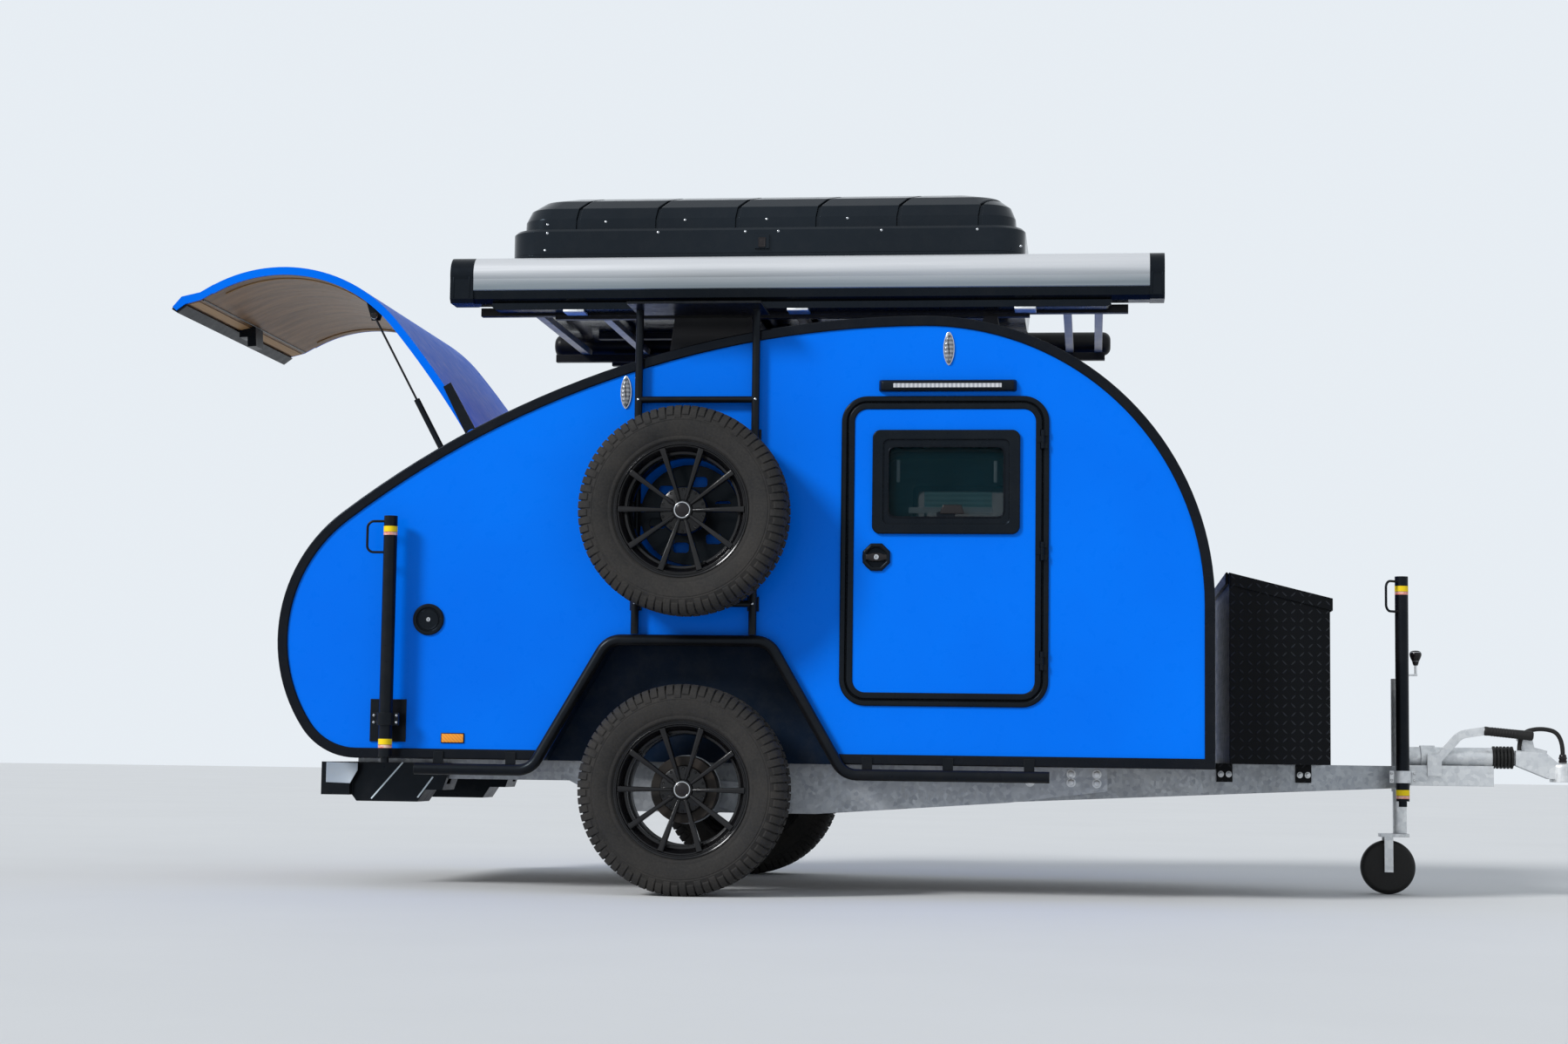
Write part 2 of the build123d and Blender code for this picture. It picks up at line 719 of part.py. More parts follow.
def rim():
    half = rim_width / 2
    lip = rim_lip_radius
    bead = bead_radius - seat_gap
    barrel = polygon(
        (lip, -half), (lip, -half + 5), (bead, -half + 9), (bead, -half + 36), (194, -50), (194, 36),
        (bead, half - 36), (bead, half - 9), (lip, half - 5), (lip, half), (bead - 10, half),
        (bead - 10, half - 38), (186, 34), (186, -52), (bead - 9, -half + 34), (bead - 4, -half),
    )
    wheel = revolve(barrel, axis=Axis.Y)
    hub = Pos(0, -rim_inset - 22, 0) * Rot(90, 0, 0) * Cylinder(76, 44)
    spoke = side_prism(
        polygon((34, -5.5), (bead - 2, -10.5), (bead - 2, 10.5), (34, 5.5)), -half + 5, -half + 28
    )
    wheel += hub
    for number in range(spoke_count):
        wheel += Rot(0, 360 / spoke_count * number, 0) * spoke
    cap_room = Pos(0, -rim_inset - 30, 0) * Rot(90, 0, 0) * Cylinder(30, 80)
    return wheel - cap_room


def drum():
    flange = Pos(0, -rim_inset + 5, 0) * Rot(90, 0, 0) * Cylinder(80, 10)
    bell = Pos(0, 15, 0) * Rot(90, 0, 0) * Cylinder(drum_radius, 70)
    cap = Pos(0, -rim_inset - 15, 0) * Rot(90, 0, 0) * Cylinder(28, 30)
    bore = Pos(0, 12, 0) * Rot(90, 0, 0) * Cylinder(spindle_radius + running_clearance, 76 + 2)
    return flange + bell + cap - bore


wheel_tyre = tyre()
wheel_rim = rim()
wheel_drum = drum()
right_wheel = Pos(0, -wheel_plane, tyre_radius)
keep("tyre_right", right_wheel * wheel_tyre)
keep("rim_right", right_wheel * wheel_rim)
keep("hub_right", right_wheel * wheel_drum)
keep("tyre_left", other_side(right_wheel * wheel_tyre))
keep("rim_left", other_side(right_wheel * wheel_rim))
keep("hub_left", other_side(right_wheel * wheel_drum))


# Axle: cross tube, trailing arms, spindles and brake backplates
def axle():
    tube = along_y(axle_tube_x, 0, axle_tube_z, axle_tube_radius, 2 * arm_inner + arm_thickness)
    link = polygon(
        (axle_tube_x + 8, axle_tube_z + 52), (-6, tyre_radius + 40),
        (-6, tyre_radius - 40), (axle_tube_x + 8, axle_tube_z - 52),
    )
    arm_face = link + Pos(axle_tube_x, axle_tube_z) * Circle(54) + Pos(0, tyre_radius) * Circle(41)
    arm = side_prism(arm_face, -arm_inner - arm_thickness, -arm_inner)
    plate_y = -wheel_plane + 60
    boss_end = -arm_inner - arm_thickness + 1
    boss = along_y(0, (plate_y + boss_end) / 2, tyre_radius, 36, boss_end - plate_y)
    backplate = along_y(0, plate_y, tyre_radius, drum_radius + 4, 6)
    stub_low = -wheel_plane - 18
    stub = along_y(0, (stub_low + plate_y) / 2, tyre_radius, spindle_radius, plate_y - stub_low)
    end = arm + boss + backplate + stub
    return tube + end + other_side(end)


keep("axle", axle())


# Chassis: two deep side channels, the converging drawbar and its crossmembers
def side_channel():
    web = polygon(
        (beam_rear_x, body_bottom), (beam_front_x, body_bottom), (beam_front_x, 372), (1100, 328),
        (420, 278), (-260, 278), (-470, 384), (beam_rear_x, 384),
    )
    pocket = offset(web, amount=-beam_wall, kind=Kind.INTERSECTION)
    beam = side_prism(web, -beam_plane - beam_width / 2, -beam_plane + beam_width / 2)
    beam -= side_prism(pocket, -beam_plane - beam_width / 2 + beam_wall, -beam_plane + beam_width / 2 + 1)
    beam -= along_y(axle_tube_x, -beam_plane, axle_tube_z, axle_tube_radius + seat_gap, 2 * beam_width)
    return beam


drawbar_run = drawbar_front_x - drawbar_rear_x
drawbar_rise = drawbar_rear_y - drawbar_front_y
drawbar_length = math.hypot(drawbar_run, drawbar_rise)
drawbar_turn = math.degrees(math.atan2(drawbar_rise, drawbar_run))
drawbar_place = Pos(drawbar_rear_x, -drawbar_rear_y, 0) * Rot(0, 0, drawbar_turn)


# How far along a drawbar member, from its rear end, a place with a given x lies
def along_member(x):
    return (x - drawbar_rear_x) * drawbar_length / drawbar_run


# Drawbar member: under the body its top meets the floor, ahead of the nose it stands higher
def drawbar_member():
    step = along_member(nose_x + nose_clearance)
    web = polygon(
        (0, 330), (0, body_bottom), (step, body_bottom), (step, drawbar_top),
        (drawbar_length, drawbar_top), (drawbar_length, 395),
    )
    pocket = offset(web, amount=-beam_wall, kind=Kind.INTERSECTION)
    member = side_prism(web, -beam_width / 2, beam_width / 2)
    member -= side_prism(pocket, -beam_width / 2 + beam_wall, beam_width / 2 + 1)
    return drawbar_place * member


def chassis():
    side = side_channel() + drawbar_member()
    frame = side + other_side(side)
    half = beam_plane + beam_width / 2 - beam_wall
    reach = crossmember_size / 2
    for place in crossmember_places:
        frame += block(
            place - reach, place + reach, -half, half, crossmember_top - crossmember_size, crossmember_top,
        )
    return frame + block(drawbar_front_x - 60, drawbar_front_x + 45, -nose_half, nose_half, 397, 473)


keep("chassis_frame", chassis())


# Roof rack: long beams on feet, crossbars over them, and mounting channels for the roof shell
def rack_foot(x_low, x_high, flare):
    side_low = -rack_beam_plane - 35
    side_high = -rack_beam_plane + 35
    face = polygon(
        (x_low - flare, 1900), (x_low + 20, rack_beam_low),
        (x_high - 20, rack_beam_low), (x_high + flare, 1900),
    )
    return side_prism(face - outline_face(-seat_gap), side_low, side_high)


# Saddle that carries the pole tube beside the far rail
def saddle(place):
    rest = block(
        place - 20, place + 20, pole_tube_plane - 70, pole_tube_plane + 36,
        rack_beam_high - 24, rack_beam_high,
    )
    return rest + block(
        place - 20, place + 20, pole_tube_plane - 20, pole_tube_plane + 36,
        rack_beam_high - 1, pole_tube_z - pole_tube_radius - seat_gap,
    )


crossbar_low = rack_beam_high + seat_gap


def roof_rack():
    half = rack_beam_width / 2
    beam = block(
        rack_beam_rear, rack_beam_front, -rack_beam_plane - half, -rack_beam_plane + half,
        rack_beam_low, rack_beam_high,
    )
    feet = rack_foot(-130, 190, 0) + rack_foot(985, 1075, 6)
    outrigger = block(
        awning_rail_rear - 60, awning_rail_front + 60, -rack_beam_plane - 17, -rack_beam_plane + 15,
        rack_beam_high - 30, rack_beam_high,
    )
    far_rail = block(
        rack_rail_rear, rack_rail_front, pole_tube_plane - 92, pole_tube_plane - 62,
        rack_beam_high - 30, rack_beam_high,
    )
    channel = block(-560, 980, -330, -290, crossbar_low + crossbar_height + seat_gap, shell_low - seat_gap)
    near_side = beam + feet + outrigger
    for place in awning_bracket_places:
        near_side += block(
            place - awning_bracket_width / 2, place + awning_bracket_width / 2,
            -awning_outer + awning_rail_back + seat_gap, -rack_beam_plane,
            rack_beam_high - 22, rack_beam_high,
        )
    far_side = other_side(beam + feet) + far_rail
    for place in crossbar_places[1:-1:2]:
        far_side += saddle(place)
    return [near_side, far_side, channel, other_side(channel)]


# Crossbars on the beams, each up to the awning at its near end
def crossbars():
    bar_low = -awning_outer + awning_depth + seat_gap
    bar_high = pole_tube_plane - pole_tube_radius - seat_gap
    return [
        block(
            place - crossbar_width / 2, place + crossbar_width / 2, bar_low, bar_high,
            crossbar_low, crossbar_low + crossbar_height,
        )
        for place in crossbar_places
    ]


keep("roof_rack", Compound(roof_rack()))
keep("rack_crossbars", Compound(crossbars()))

# Pole tube with domed ends along the far side of the rack
pole_length = pole_tube_front - pole_tube_rear
pole_middle = (pole_tube_front + pole_tube_rear) / 2
pole = along_x(pole_middle, pole_tube_plane, pole_tube_z, pole_tube_radius, pole_length)
pole = fillet(pole.edges().filter_by(GeomType.CIRCLE), 30)
keep("pole_tube", pole)


# Awning case: an extruded profile with a rounded front over a black lower profile, with end caps
def awning_profile(low, bulge):
    high = awning_high
    near = -awning_outer
    back = near + awning_depth
    return make_face([
        Line((near + 56, high), (back, high)),
        Line((back, high), (back, low)),
        Line((back, low), (near + bulge, low)),
        Line((near + bulge, low), (near, low + bulge)),
        Line((near, low + bulge), (near, awning_split + 42)),
        ThreePointArc((near, awning_split + 42), (near + 14, high - 22), (near + 56, high)),
    ])


def lower_profile():
    near = -awning_outer + 5
    back = near + awning_depth - 14
    top = awning_split - seat_gap
    return polygon(
        (near, top), (back, top), (back, awning_low), (near + 26, awning_low), (near + 4, awning_low + 14),
    )


def along_awning(face, x_low, x_high):
    return Pos(x_low, 0, 0) * extrude(Plane.YZ * face, amount=x_high - x_low)


case_rear = awning_rear + awning_rear_cap
case_front = awning_front - awning_front_cap
keep("awning_case", along_awning(awning_profile(awning_split, 3), case_rear, case_front))
rail = block(
    awning_rail_rear, awning_rail_front, -awning_outer + 18, -awning_outer + awning_rail_back,
    awning_low - awning_rail_height, awning_low,
)
rail = fillet(rail.edges().filter_by(Axis.Y).group_by(Axis.Z)[0], 20)
black_profile = along_awning(lower_profile(), case_rear, case_front) + rail
caps = [
    along_awning(awning_profile(awning_low, 14), awning_rear, case_rear - seat_gap),
    along_awning(awning_profile(awning_low, 14), case_front + seat_gap, awning_front),
]
keep("awning_black_parts", Compound(caps + [black_profile]))


# Roof shell: a base tray, and a lid with a skirt and a grooved dome
def shell_section(inset, z):
    length = shell_front - shell_rear - 2 * inset
    width = 2 * (shell_half_width - inset)
    centre = ((shell_front + shell_rear) / 2, 0, z)
    return Pos(*centre) * RectangleRounded(length, width, shell_corner - inset / 6)


def shell_hinges(kind):
    y = shell_half_width + 6
    solids = []
    for place in shell_hinge_places:
        own = [0.0] if kind == "lid" else [-31.0, 31.0]
        for step in own:
            centre_x = place + step
            barrel = along_x(centre_x, y, shell_split, 6, 30)
            low, high = (shell_split, shell_split + 40) if kind == "lid" else (shell_split - 40, shell_split)
            solids.append(barrel + block(centre_x - 15, centre_x + 15, shell_half_width - 6, y, low, high))
    return solids


def shell_base():
    top = shell_split - seat_gap
    tray = loft([shell_section(shell_foot_inset, shell_low), shell_section(0, top)], ruled=True)
    tray -= loft(
        [
            shell_section(shell_foot_inset + shell_wall, shell_low + shell_wall),
            shell_section(shell_wall, shell_split + 1),
        ],
        ruled=True,
    )
    for hinge in shell_hinges("base"):
        tray += hinge
    for place in shell_hinge_places:
        tray += along_x(place, shell_half_width + 6, shell_split, 3, 60)
    return tray


# The lid's outer form at a depth below its surface, from a given height up
def lid_form(depth, low):
    steps = [(depth, low), (depth, shell_skirt_top - 10 - depth), (depth + 8, shell_skirt_top - depth)]
    skirt = loft([shell_section(inset, z) for inset, z in steps], ruled=True)
    rise = [(inset + depth, shell_skirt_top + up - depth) for inset, up in dome_steps]
    rise[0] = (rise[0][0], shell_skirt_top - 20 - depth)
    return skirt + loft([shell_section(inset, z) for inset, z in rise], ruled=True)


def groove_band(place):
    near = [(place + shift, -shell_half_width + inset) for inset, shift in groove_bend]
    far = [(x, -y) for x, y in reversed(near)]
    centre = near + far
    forward = [(x + groove_width, y) for x, y in reversed(centre)]
    low = shell_skirt_top + 1
    return Pos(0, 0, low) * extrude(polygon(*centre, *forward), amount=shell_high - low + 10)


def shell_lid():
    lid = lid_form(0, shell_split)
    for place in groove_places:
        lid -= groove_band(place)
    lid += lid_form(groove_depth, shell_split)
    lid -= lid_form(groove_depth + shell_wall, shell_split - 1)
    for hinge in shell_hinges("lid"):
        lid += hinge
    for place in shell_hinge_places:
        lid -= along_x(place, shell_half_width + 6, shell_split, 3 + running_clearance, 70)
    latch_y = -shell_half_width
    lid += block(
        shell_latch_x - 26, shell_latch_x + 26, latch_y - 9, latch_y + 4, shell_split + 14, shell_split + 66,
    )
    return lid


keep("roof_shell_base", shell_base())
keep("roof_shell_lid", shell_lid())


# Ladder with its step plate, and the carrier that holds the spare wheel
def ladder():
    frame = None
    length = ladder_high - ladder_low
    for place in ladder_rail_places:
        rail = Pos(place, -ladder_plane, ladder_low + length / 2) * Cylinder(ladder_rail_radius, length)
        frame = rail if frame is None else frame + rail
    left, right = ladder_rail_places
    frame += along_x((left + right) / 2, -ladder_plane, rung_z, 12, right - left)
    frame += along_x((left + right) / 2, -ladder_plane, 1010, 12, right - left)
    plate = block(
        step_plate_rear, step_plate_front, -step_plate_outer, -step_plate_inner,
        ladder_high, ladder_high + step_plate_thickness,
    )
    frame += plate
    for place in ladder_rail_places:
        for height in (1010, 1600):
            frame += block(
                place - 20, place + 20, -body_half_width - 15, -body_half_width, height - 25, height + 25,
            )
    centre_x, centre_z = spare_centre
    carrier = block(left, right, -ladder_plane - 6, -ladder_plane + 6, centre_z - 40, centre_z + 40)
    face_y = -spare_plane - rim_inset
    post = along_y(centre_x, (face_y - ladder_plane) / 2, centre_z, 45, -ladder_plane - face_y)
    flange = along_y(centre_x, face_y + 5, centre_z, 78, 10)
    disc = Pos(centre_x, centre_z) * Circle(carrier_radius)
    for number in range(carrier_slots):
        turn = math.tau * (number + 0.25) / carrier_slots
        slot = RectangleRounded(*carrier_slot_size, 12)
        across = slot_circle * math.cos(turn)
        up = slot_circle * math.sin(turn)
        disc -= Pos(centre_x + across, centre_z + up) * slot
    plate = side_prism(disc, -ladder_plane - 10, -ladder_plane - 6)
    return frame + carrier + post + flange + plate


keep("spare_ladder", ladder())
spare_place = Pos(spare_centre[0], -spare_plane, spare_centre[1])
keep("spare_tyre", spare_place * wheel_tyre)
keep("spare_rim", spare_place * wheel_rim)


# Prop stands: round tubes with a foot plug and a D handle, held by clamps
def prop_stand(length):
    tube = Pos(0, 0, (length + stand_foot_height) / 2) * Cylinder(stand_radius, length - stand_foot_height)
    foot = Pos(0, 0, stand_foot_height / 2) * Cylinder(stand_foot_radius, stand_foot_height)
    high = length - handle_high
    low = length - handle_low
    points = [(0, 0, high), (-handle_reach, 0, high), (-handle_reach, 0, low), (0, 0, low)]
    path = FilletPolyline(*points, radius=handle_bend)
    start = Plane(origin=path @ 0, z_dir=path % 0)
    return tube + foot + sweep(start * Circle(handle_radius), path=path)


rear_stand = prop_stand(rear_stand_length)
keep("rear_stand_right", Pos(rear_stand_x, -rear_stand_plane, rear_stand_low) * rear_stand)
keep("rear_stand_left", Pos(rear_stand_x, rear_stand_plane, rear_stand_low) * rear_stand)
front_stand = Rot(0, 0, front_stand_turn) * prop_stand(front_stand_length)
keep("front_stand", Pos(front_stand_x, -front_stand_plane, front_stand_low) * front_stand)


# Clamp round a stand: a collar with an ear on each side
def stand_clamp(x, y, z):
    collar = Cylinder(stand_radius + 9, clamp_height)
    collar += Box(2 * clamp_ear_reach, 2 * clamp_ear_half, clamp_height)
    collar -= Cylinder(stand_radius + clamp_clearance, 2 * clamp_height)
    return Pos(x, y, z) * collar


# Rear stand brackets: a plate on the side wall, a standoff and a collar round the tube
def rear_bracket():
    collar = stand_clamp(rear_stand_x, -rear_stand_plane, rear_clamp_z)
    plate = block(rear_stand_x - 74, rear_stand_x + 56, -body_half_width - 6, -body_half_width, 514, 664)
    standoff = block(
        rear_stand_x - 22, rear_stand_x + 22,
        -rear_stand_plane + stand_radius + 4, -body_half_width - 6, rear_clamp_z - 18, rear_clamp_z + 18,
    )
    return collar + plate + standoff


keep("rear_stand_brackets", both_sides(rear_bracket()))


# Drawbar clamps: the front stand's collar and the jockey wheel's outer tube on the nose plate
def drawbar_clamps():
    collar = stand_clamp(front_stand_x, -front_stand_plane, front_clamp_z)
    bridge = block(
        front_stand_x - 20, front_stand_x + 20, -front_stand_plane + stand_radius + 4, -nose_half,
        front_clamp_z - 21, front_clamp_z + 21,
    )
    jockey_outer = Pos(jockey_x, jockey_plane, 590) * Cylinder(jockey_tube_radius, 420)
    jockey_outer -= Pos(jockey_x, jockey_plane, 560) * Cylinder(jockey_tube_radius - 4, 430)
    jockey_bridge = block(
        jockey_x - 20, jockey_x + 20, nose_half, jockey_plane - jockey_tube_radius + 3,
        front_clamp_z - 21, front_clamp_z + 21,
    )
    crank = Pos(jockey_x, jockey_plane, 808) * Cylinder(9, 20)
    crank += block(jockey_x, jockey_x + crank_reach + 6, jockey_plane - 6, jockey_plane + 6, 811, 818)
    crank += Pos(jockey_x + crank_reach, jockey_plane, 836) * Cylinder(5, 40)
    crank += Pos(jockey_x + crank_reach, jockey_plane, 870) * Cone(8, 20.5, 37)
    crank += Pos(jockey_x + crank_reach, jockey_plane, 894) * Cylinder(20.5, 13)
    return Compound([collar + bridge, jockey_outer + jockey_bridge + crank])


keep("drawbar_clamps", drawbar_clamps())


# Jockey leg with its castor fork, and the wheel
def jockey_pieces():
    inner_radius = jockey_tube_radius - 4 - clamp_clearance
    axle_x = jockey_x - jockey_trail
    leg = Pos(jockey_x, jockey_plane, 395) * Cylinder(inner_radius, 340)
    crown = block(axle_x - 30, jockey_x + 30, jockey_plane - 45, jockey_plane + 45, 212, 225 - seat_gap)
    fork = crown
    for side in (-1, 1):
        y = jockey_plane + side * 41
        fork += block(axle_x - 16, axle_x + 16, y - 4, y + 4, jockey_wheel_radius - 18, 214)
    fork += along_y(axle_x, jockey_plane, jockey_wheel_radius, 8, 90)
    wheel = along_y(axle_x, jockey_plane, jockey_wheel_radius, jockey_wheel_radius, 60)
    wheel = fillet(wheel.edges().filter_by(GeomType.CIRCLE), 18)
    wheel -= along_y(axle_x, jockey_plane, jockey_wheel_radius, 8 + running_clearance, 90)
    return leg, fork, wheel


jockey_leg, jockey_fork, jockey_wheel = jockey_pieces()
keep("jockey_leg", jockey_leg)
keep("jockey_fork", jockey_fork)
keep("jockey_wheel", jockey_wheel)


# Toolbox with a sloping lid on a long hinge along its rear edge
box_slope = (box_rear_z - box_front_z) / (box_front_x - box_rear_x)
lid_hinge_x = box_rear_x - 6.0
lid_hinge_z = box_rear_z + 3.0


def box_rim(x, up):
    return (x, box_rear_z - box_slope * (x - box_rear_x) + up)


def hinge_knuckles(offset):
    knuckles = None
    for number in range(5):
        y = -450 + offset + 200 * number
        barrel = along_y(lid_hinge_x, y, lid_hinge_z, 5, 98)
        knuckles = barrel if knuckles is None else knuckles + barrel
    return knuckles


def toolbox():
    outer = polygon(
        (box_rear_x, box_low), (box_front_x, box_low), box_rim(box_front_x, 0), box_rim(box_rear_x, 0),
    )
    inner = polygon(
        (box_rear_x + box_sheet, box_low + box_sheet), (box_front_x - box_sheet, box_low + box_sheet),
        (box_front_x - box_sheet, box_rear_z + 50), (box_rear_x + box_sheet, box_rear_z + 50),
    )
    body = side_prism(outer, -box_half_width, box_half_width)
    body -= side_prism(inner, -box_half_width + box_sheet, box_half_width - box_sheet)
    for place in bracket_places:
        spot = along_member(place)
        face = -beam_width / 2 - seat_gap
        bracket = drawbar_place * block(
            spot - bracket_half, spot + bracket_half, face - bracket_sheet, face, bracket_low, box_low + 1,
        )
        body += bracket + other_side(bracket)
    body += block(lid_hinge_x - 5, box_rear_x, -500, 500, lid_hinge_z - 36, lid_hinge_z - 6)
    for number in range(5):
        y = -450 + 200 * number
        body += block(lid_hinge_x - 5, lid_hinge_x - 1, y - 49, y + 49, lid_hinge_z - 10, lid_hinge_z)
    body += hinge_knuckles(0)
    return body + along_y(lid_hinge_x, 50, lid_hinge_z, 2, 1090)


def toolbox_lid():
    grow = 6.0
    front = box_front_x + grow
    up = seat_gap
    top = polygon(
        box_rim(lid_hinge_x + 2, up), box_rim(front + box_sheet, up),
        box_rim(front + box_sheet, up + box_sheet), box_rim(lid_hinge_x + 2, up + box_sheet),
    )
    skirt = polygon(
        box_rim(box_rear_x + 6, up), box_rim(front + box_sheet, up),
        box_rim(front + box_sheet, up - lid_lip), box_rim(box_rear_x + 6, up - lid_lip),
    )
    room = polygon(
        box_rim(box_rear_x, up + 1), box_rim(front, up + 1),
        box_rim(front, up - lid_lip - 9), box_rim(box_rear_x, up - lid_lip - 9),
    )
    side = box_half_width + grow + box_sheet
    skirts = side_prism(skirt, -side, side) - side_prism(room, -side + box_sheet, side - box_sheet)
    lid = side_prism(top, -side, side) + skirts
    lid -= along_y(lid_hinge_x, 0, lid_hinge_z, 5.6, 2 * side + 2)
    lid += hinge_knuckles(100)
    for number in range(5):
        y = -350 + 200 * number
        lid += block(lid_hinge_x, box_rear_x + 10, y - 49, y + 49, lid_hinge_z - 2, lid_hinge_z + 2)
    return lid - along_y(lid_hinge_x, 50, lid_hinge_z, 2 + running_clearance, 1200)


keep("toolbox_body", toolbox())
keep("toolbox_lid", toolbox_lid())


# Rear light bar with a folded box at each end under the body, and the lamps on it
def rear_light_bar():
    bar = block(light_rear_x, light_front_x, -light_half, light_half, light_low_z, light_top_z)
    bar -= block(light_rear_x - 1, light_rear_x + 16, -560, 560, light_low_z + 30, light_top_z - 7)
    face = polygon(
        (light_front_x, light_top_z), (-905, light_top_z), (-905, 412), (-929, 343), (-992, 343),
        (-1020, light_box_z), (-1245, light_box_z), (light_front_x, light_low_z),
    )
    room = offset(face, amount=-4, kind=Kind.INTERSECTION) + Pos(-1125, light_top_z) * Rectangle(300, 12)
    box = side_prism(face, -605, -430) - side_prism(room, -600, -435)
    beam_half = beam_width / 2 + seat_gap
    box -= block(
        beam_rear_x - seat_gap, 0, -beam_plane - beam_half, -beam_plane + beam_half, 365, body_bottom,
    )
    member_half = crossmember_size / 2 + seat_gap
    box -= block(
        crossmember_places[0] - member_half, crossmember_places[0] + member_half, -beam_plane, -425,
        crossmember_top - crossmember_size - seat_gap, body_bottom,
    )
    return bar + box + other_side(box)


keep("rear_light_bar", rear_light_bar())
lamps = []
for side in (-1, 1):
    for inner, outer in ((300, 420), (425, 555)):
        low, high = sorted((side * inner, side * outer))
        lamps.append(block(
            light_rear_x + 2, light_rear_x + 16 - seat_gap, low, high, light_low_z + 34, light_top_z - 11,
        ))
keep("rear_lamps", Compound(lamps))


# Lamps and small parts on the side walls
def wall_part(sketch, height):
    return side_prism(sketch, -body_half_width - height, -body_half_width)


def marker_lamp(x, z):
    lens = make_face([
        ThreePointArc((x, z + 60), (x + 20, z), (x, z - 60)),
        ThreePointArc((x, z - 60), (x - 20, z), (x, z + 60)),
    ])
    return wall_part(lens, 12)


markers = [marker_lamp(892, 1912), marker_lamp(-253, 1760)]
door_lamp = wall_part(rounded_frame(646, 1132, 1758, 1803, 18), 34)
reflector = wall_part(rounded_frame(-895, -810, 511, 547, 5), 6)
side_lamps = markers + [door_lamp, reflector]
keep("wall_lamps", Compound(side_lamps + [other_side(lamp) for lamp in side_lamps]))
keep("service_port", wall_part(Pos(-950, 948) * Circle(56), 9))


# Overrun device: the box on the nose plate, the damper tube over it and its clamp band
def overrun():
    housing = block(housing_rear_x, housing_front_x, -48, 48, 405, drawtube_z - 32)
    housing += block(housing_rear_x, housing_rear_x + 54, -nose_half, nose_half, 405, 420)
    length = housing_front_x - housing_rear_x
    damper = along_x((housing_front_x + housing_rear_x) / 2, 0, drawtube_z, 35, length)
    band = along_x(housing_rear_x + 72, 0, drawtube_z, 41, 52)
    bore = along_x(housing_front_x, 0, drawtube_z, drawtube_radius + seat_gap, 120)
    return housing + damper + band - bore


keep("overrun_housing", overrun())

# Ribbed bellows over the drawtube
bellows_x = housing_front_x + seat_gap + bellows_length / 2
rib_pitch = bellows_length / bellows_ribs
bellows = along_x(bellows_x, 0, drawtube_z, bellows_radius - 9, bellows_length)
for number in range(bellows_ribs):
    rib_x = bellows_x - bellows_length / 2 + rib_pitch * (number + 0.5)
    bellows += along_x(rib_x, 0, drawtube_z, bellows_radius, rib_pitch * 0.55)
bellows -= along_x(bellows_x, 0, drawtube_z, drawtube_radius + seat_gap, bellows_length + 10)
keep("drawbar_bellows", bellows)


head_rear = bellows_x + bellows_length / 2 + 4


# Coupling head: drawtube, cast body that drops to the ball cup, and its handle
def coupling():
    tube_rear = housing_front_x - 50
    tube_front = head_rear + 30
    drawtube = along_x((tube_rear + tube_front) / 2, 0, drawtube_z, drawtube_radius, tube_front - tube_rear)
    side_face = polygon(
        (head_rear, drawtube_z - 28), (head_rear, drawtube_z + 26), (socket_x - 60, drawtube_z + 18),
        (socket_x - 18, socket_z + 38), (socket_x - 18, socket_z - 20), (socket_x - 50, socket_z - 20),
    )
    body = side_prism(side_face, -34, 34)
    cup = Pos(socket_x, 0, socket_z + 4) * Cylinder(44, 70)
    cup = fillet(cup.edges().group_by(Axis.Z)[-1], 16)
    handle_x = head_rear + 20
    handle = side_prism(
        polygon(
            (handle_x, drawtube_z + 20), (handle_x + 92, drawtube_z + 12),
            (handle_x + 96, drawtube_z + 26), (handle_x + 50, drawtube_z + 38),
            (handle_x + 40, drawtube_z + 78), (handle_x - 6, drawtube_z + 84),
            (handle_x - 12, drawtube_z + 66), (handle_x + 8, drawtube_z + 42),
        ),
        -14, 14,
    )
    socket = Pos(socket_x, 0, socket_z) * Sphere(ball_diameter / 2 + socket_clearance)
    mouth = Pos(socket_x, 0, socket_z - 25) * Cylinder(ball_diameter / 2 + socket_clearance, 50)
    return drawtube + body + cup + handle - socket - mouth


keep("coupling_head", coupling())

# Handbrake lever beside the damper tube, with its grip
lever_plane = -47.0
lever_route = [(housing_rear_x + 92, 486), (housing_rear_x + 184, 592), (housing_rear_x + 272, 607)]
grip_end = (housing_rear_x + 442, 591)


def handbrake():
    path = FilletPolyline(*[Vector(x, 0, z) for x, z in lever_route], radius=60)
    start = Plane(origin=path @ 0, z_dir=path % 0)
    lever = sweep(start * Rectangle(30, 10), path=path)
    grip_start = lever_route[2]
    run = Vector(grip_end[0] - grip_start[0], 0, grip_end[1] - grip_start[1])
    grip_plane = Plane(origin=(grip_start[0] - 2, 0, grip_start[1]), z_dir=run)
    grip = grip_plane * Pos(0, 0, run.length / 2) * Cylinder(15, run.length)
    lug = block(lever_route[0][0] - 26, lever_route[0][0] + 26, -5, 5, 440, 520)
    return Pos(0, lever_plane - 6.6, 0) * (lever + grip + lug)


keep("handbrake_lever", handbrake())

# Cable from the coupling's body, up behind the grip and down to its plug on the ball cup
cable_plane = -24.0
plug_radius = 15.0
plug_height = 32.0
cable_start_x = head_rear + 14
cup_top = socket_z + 39


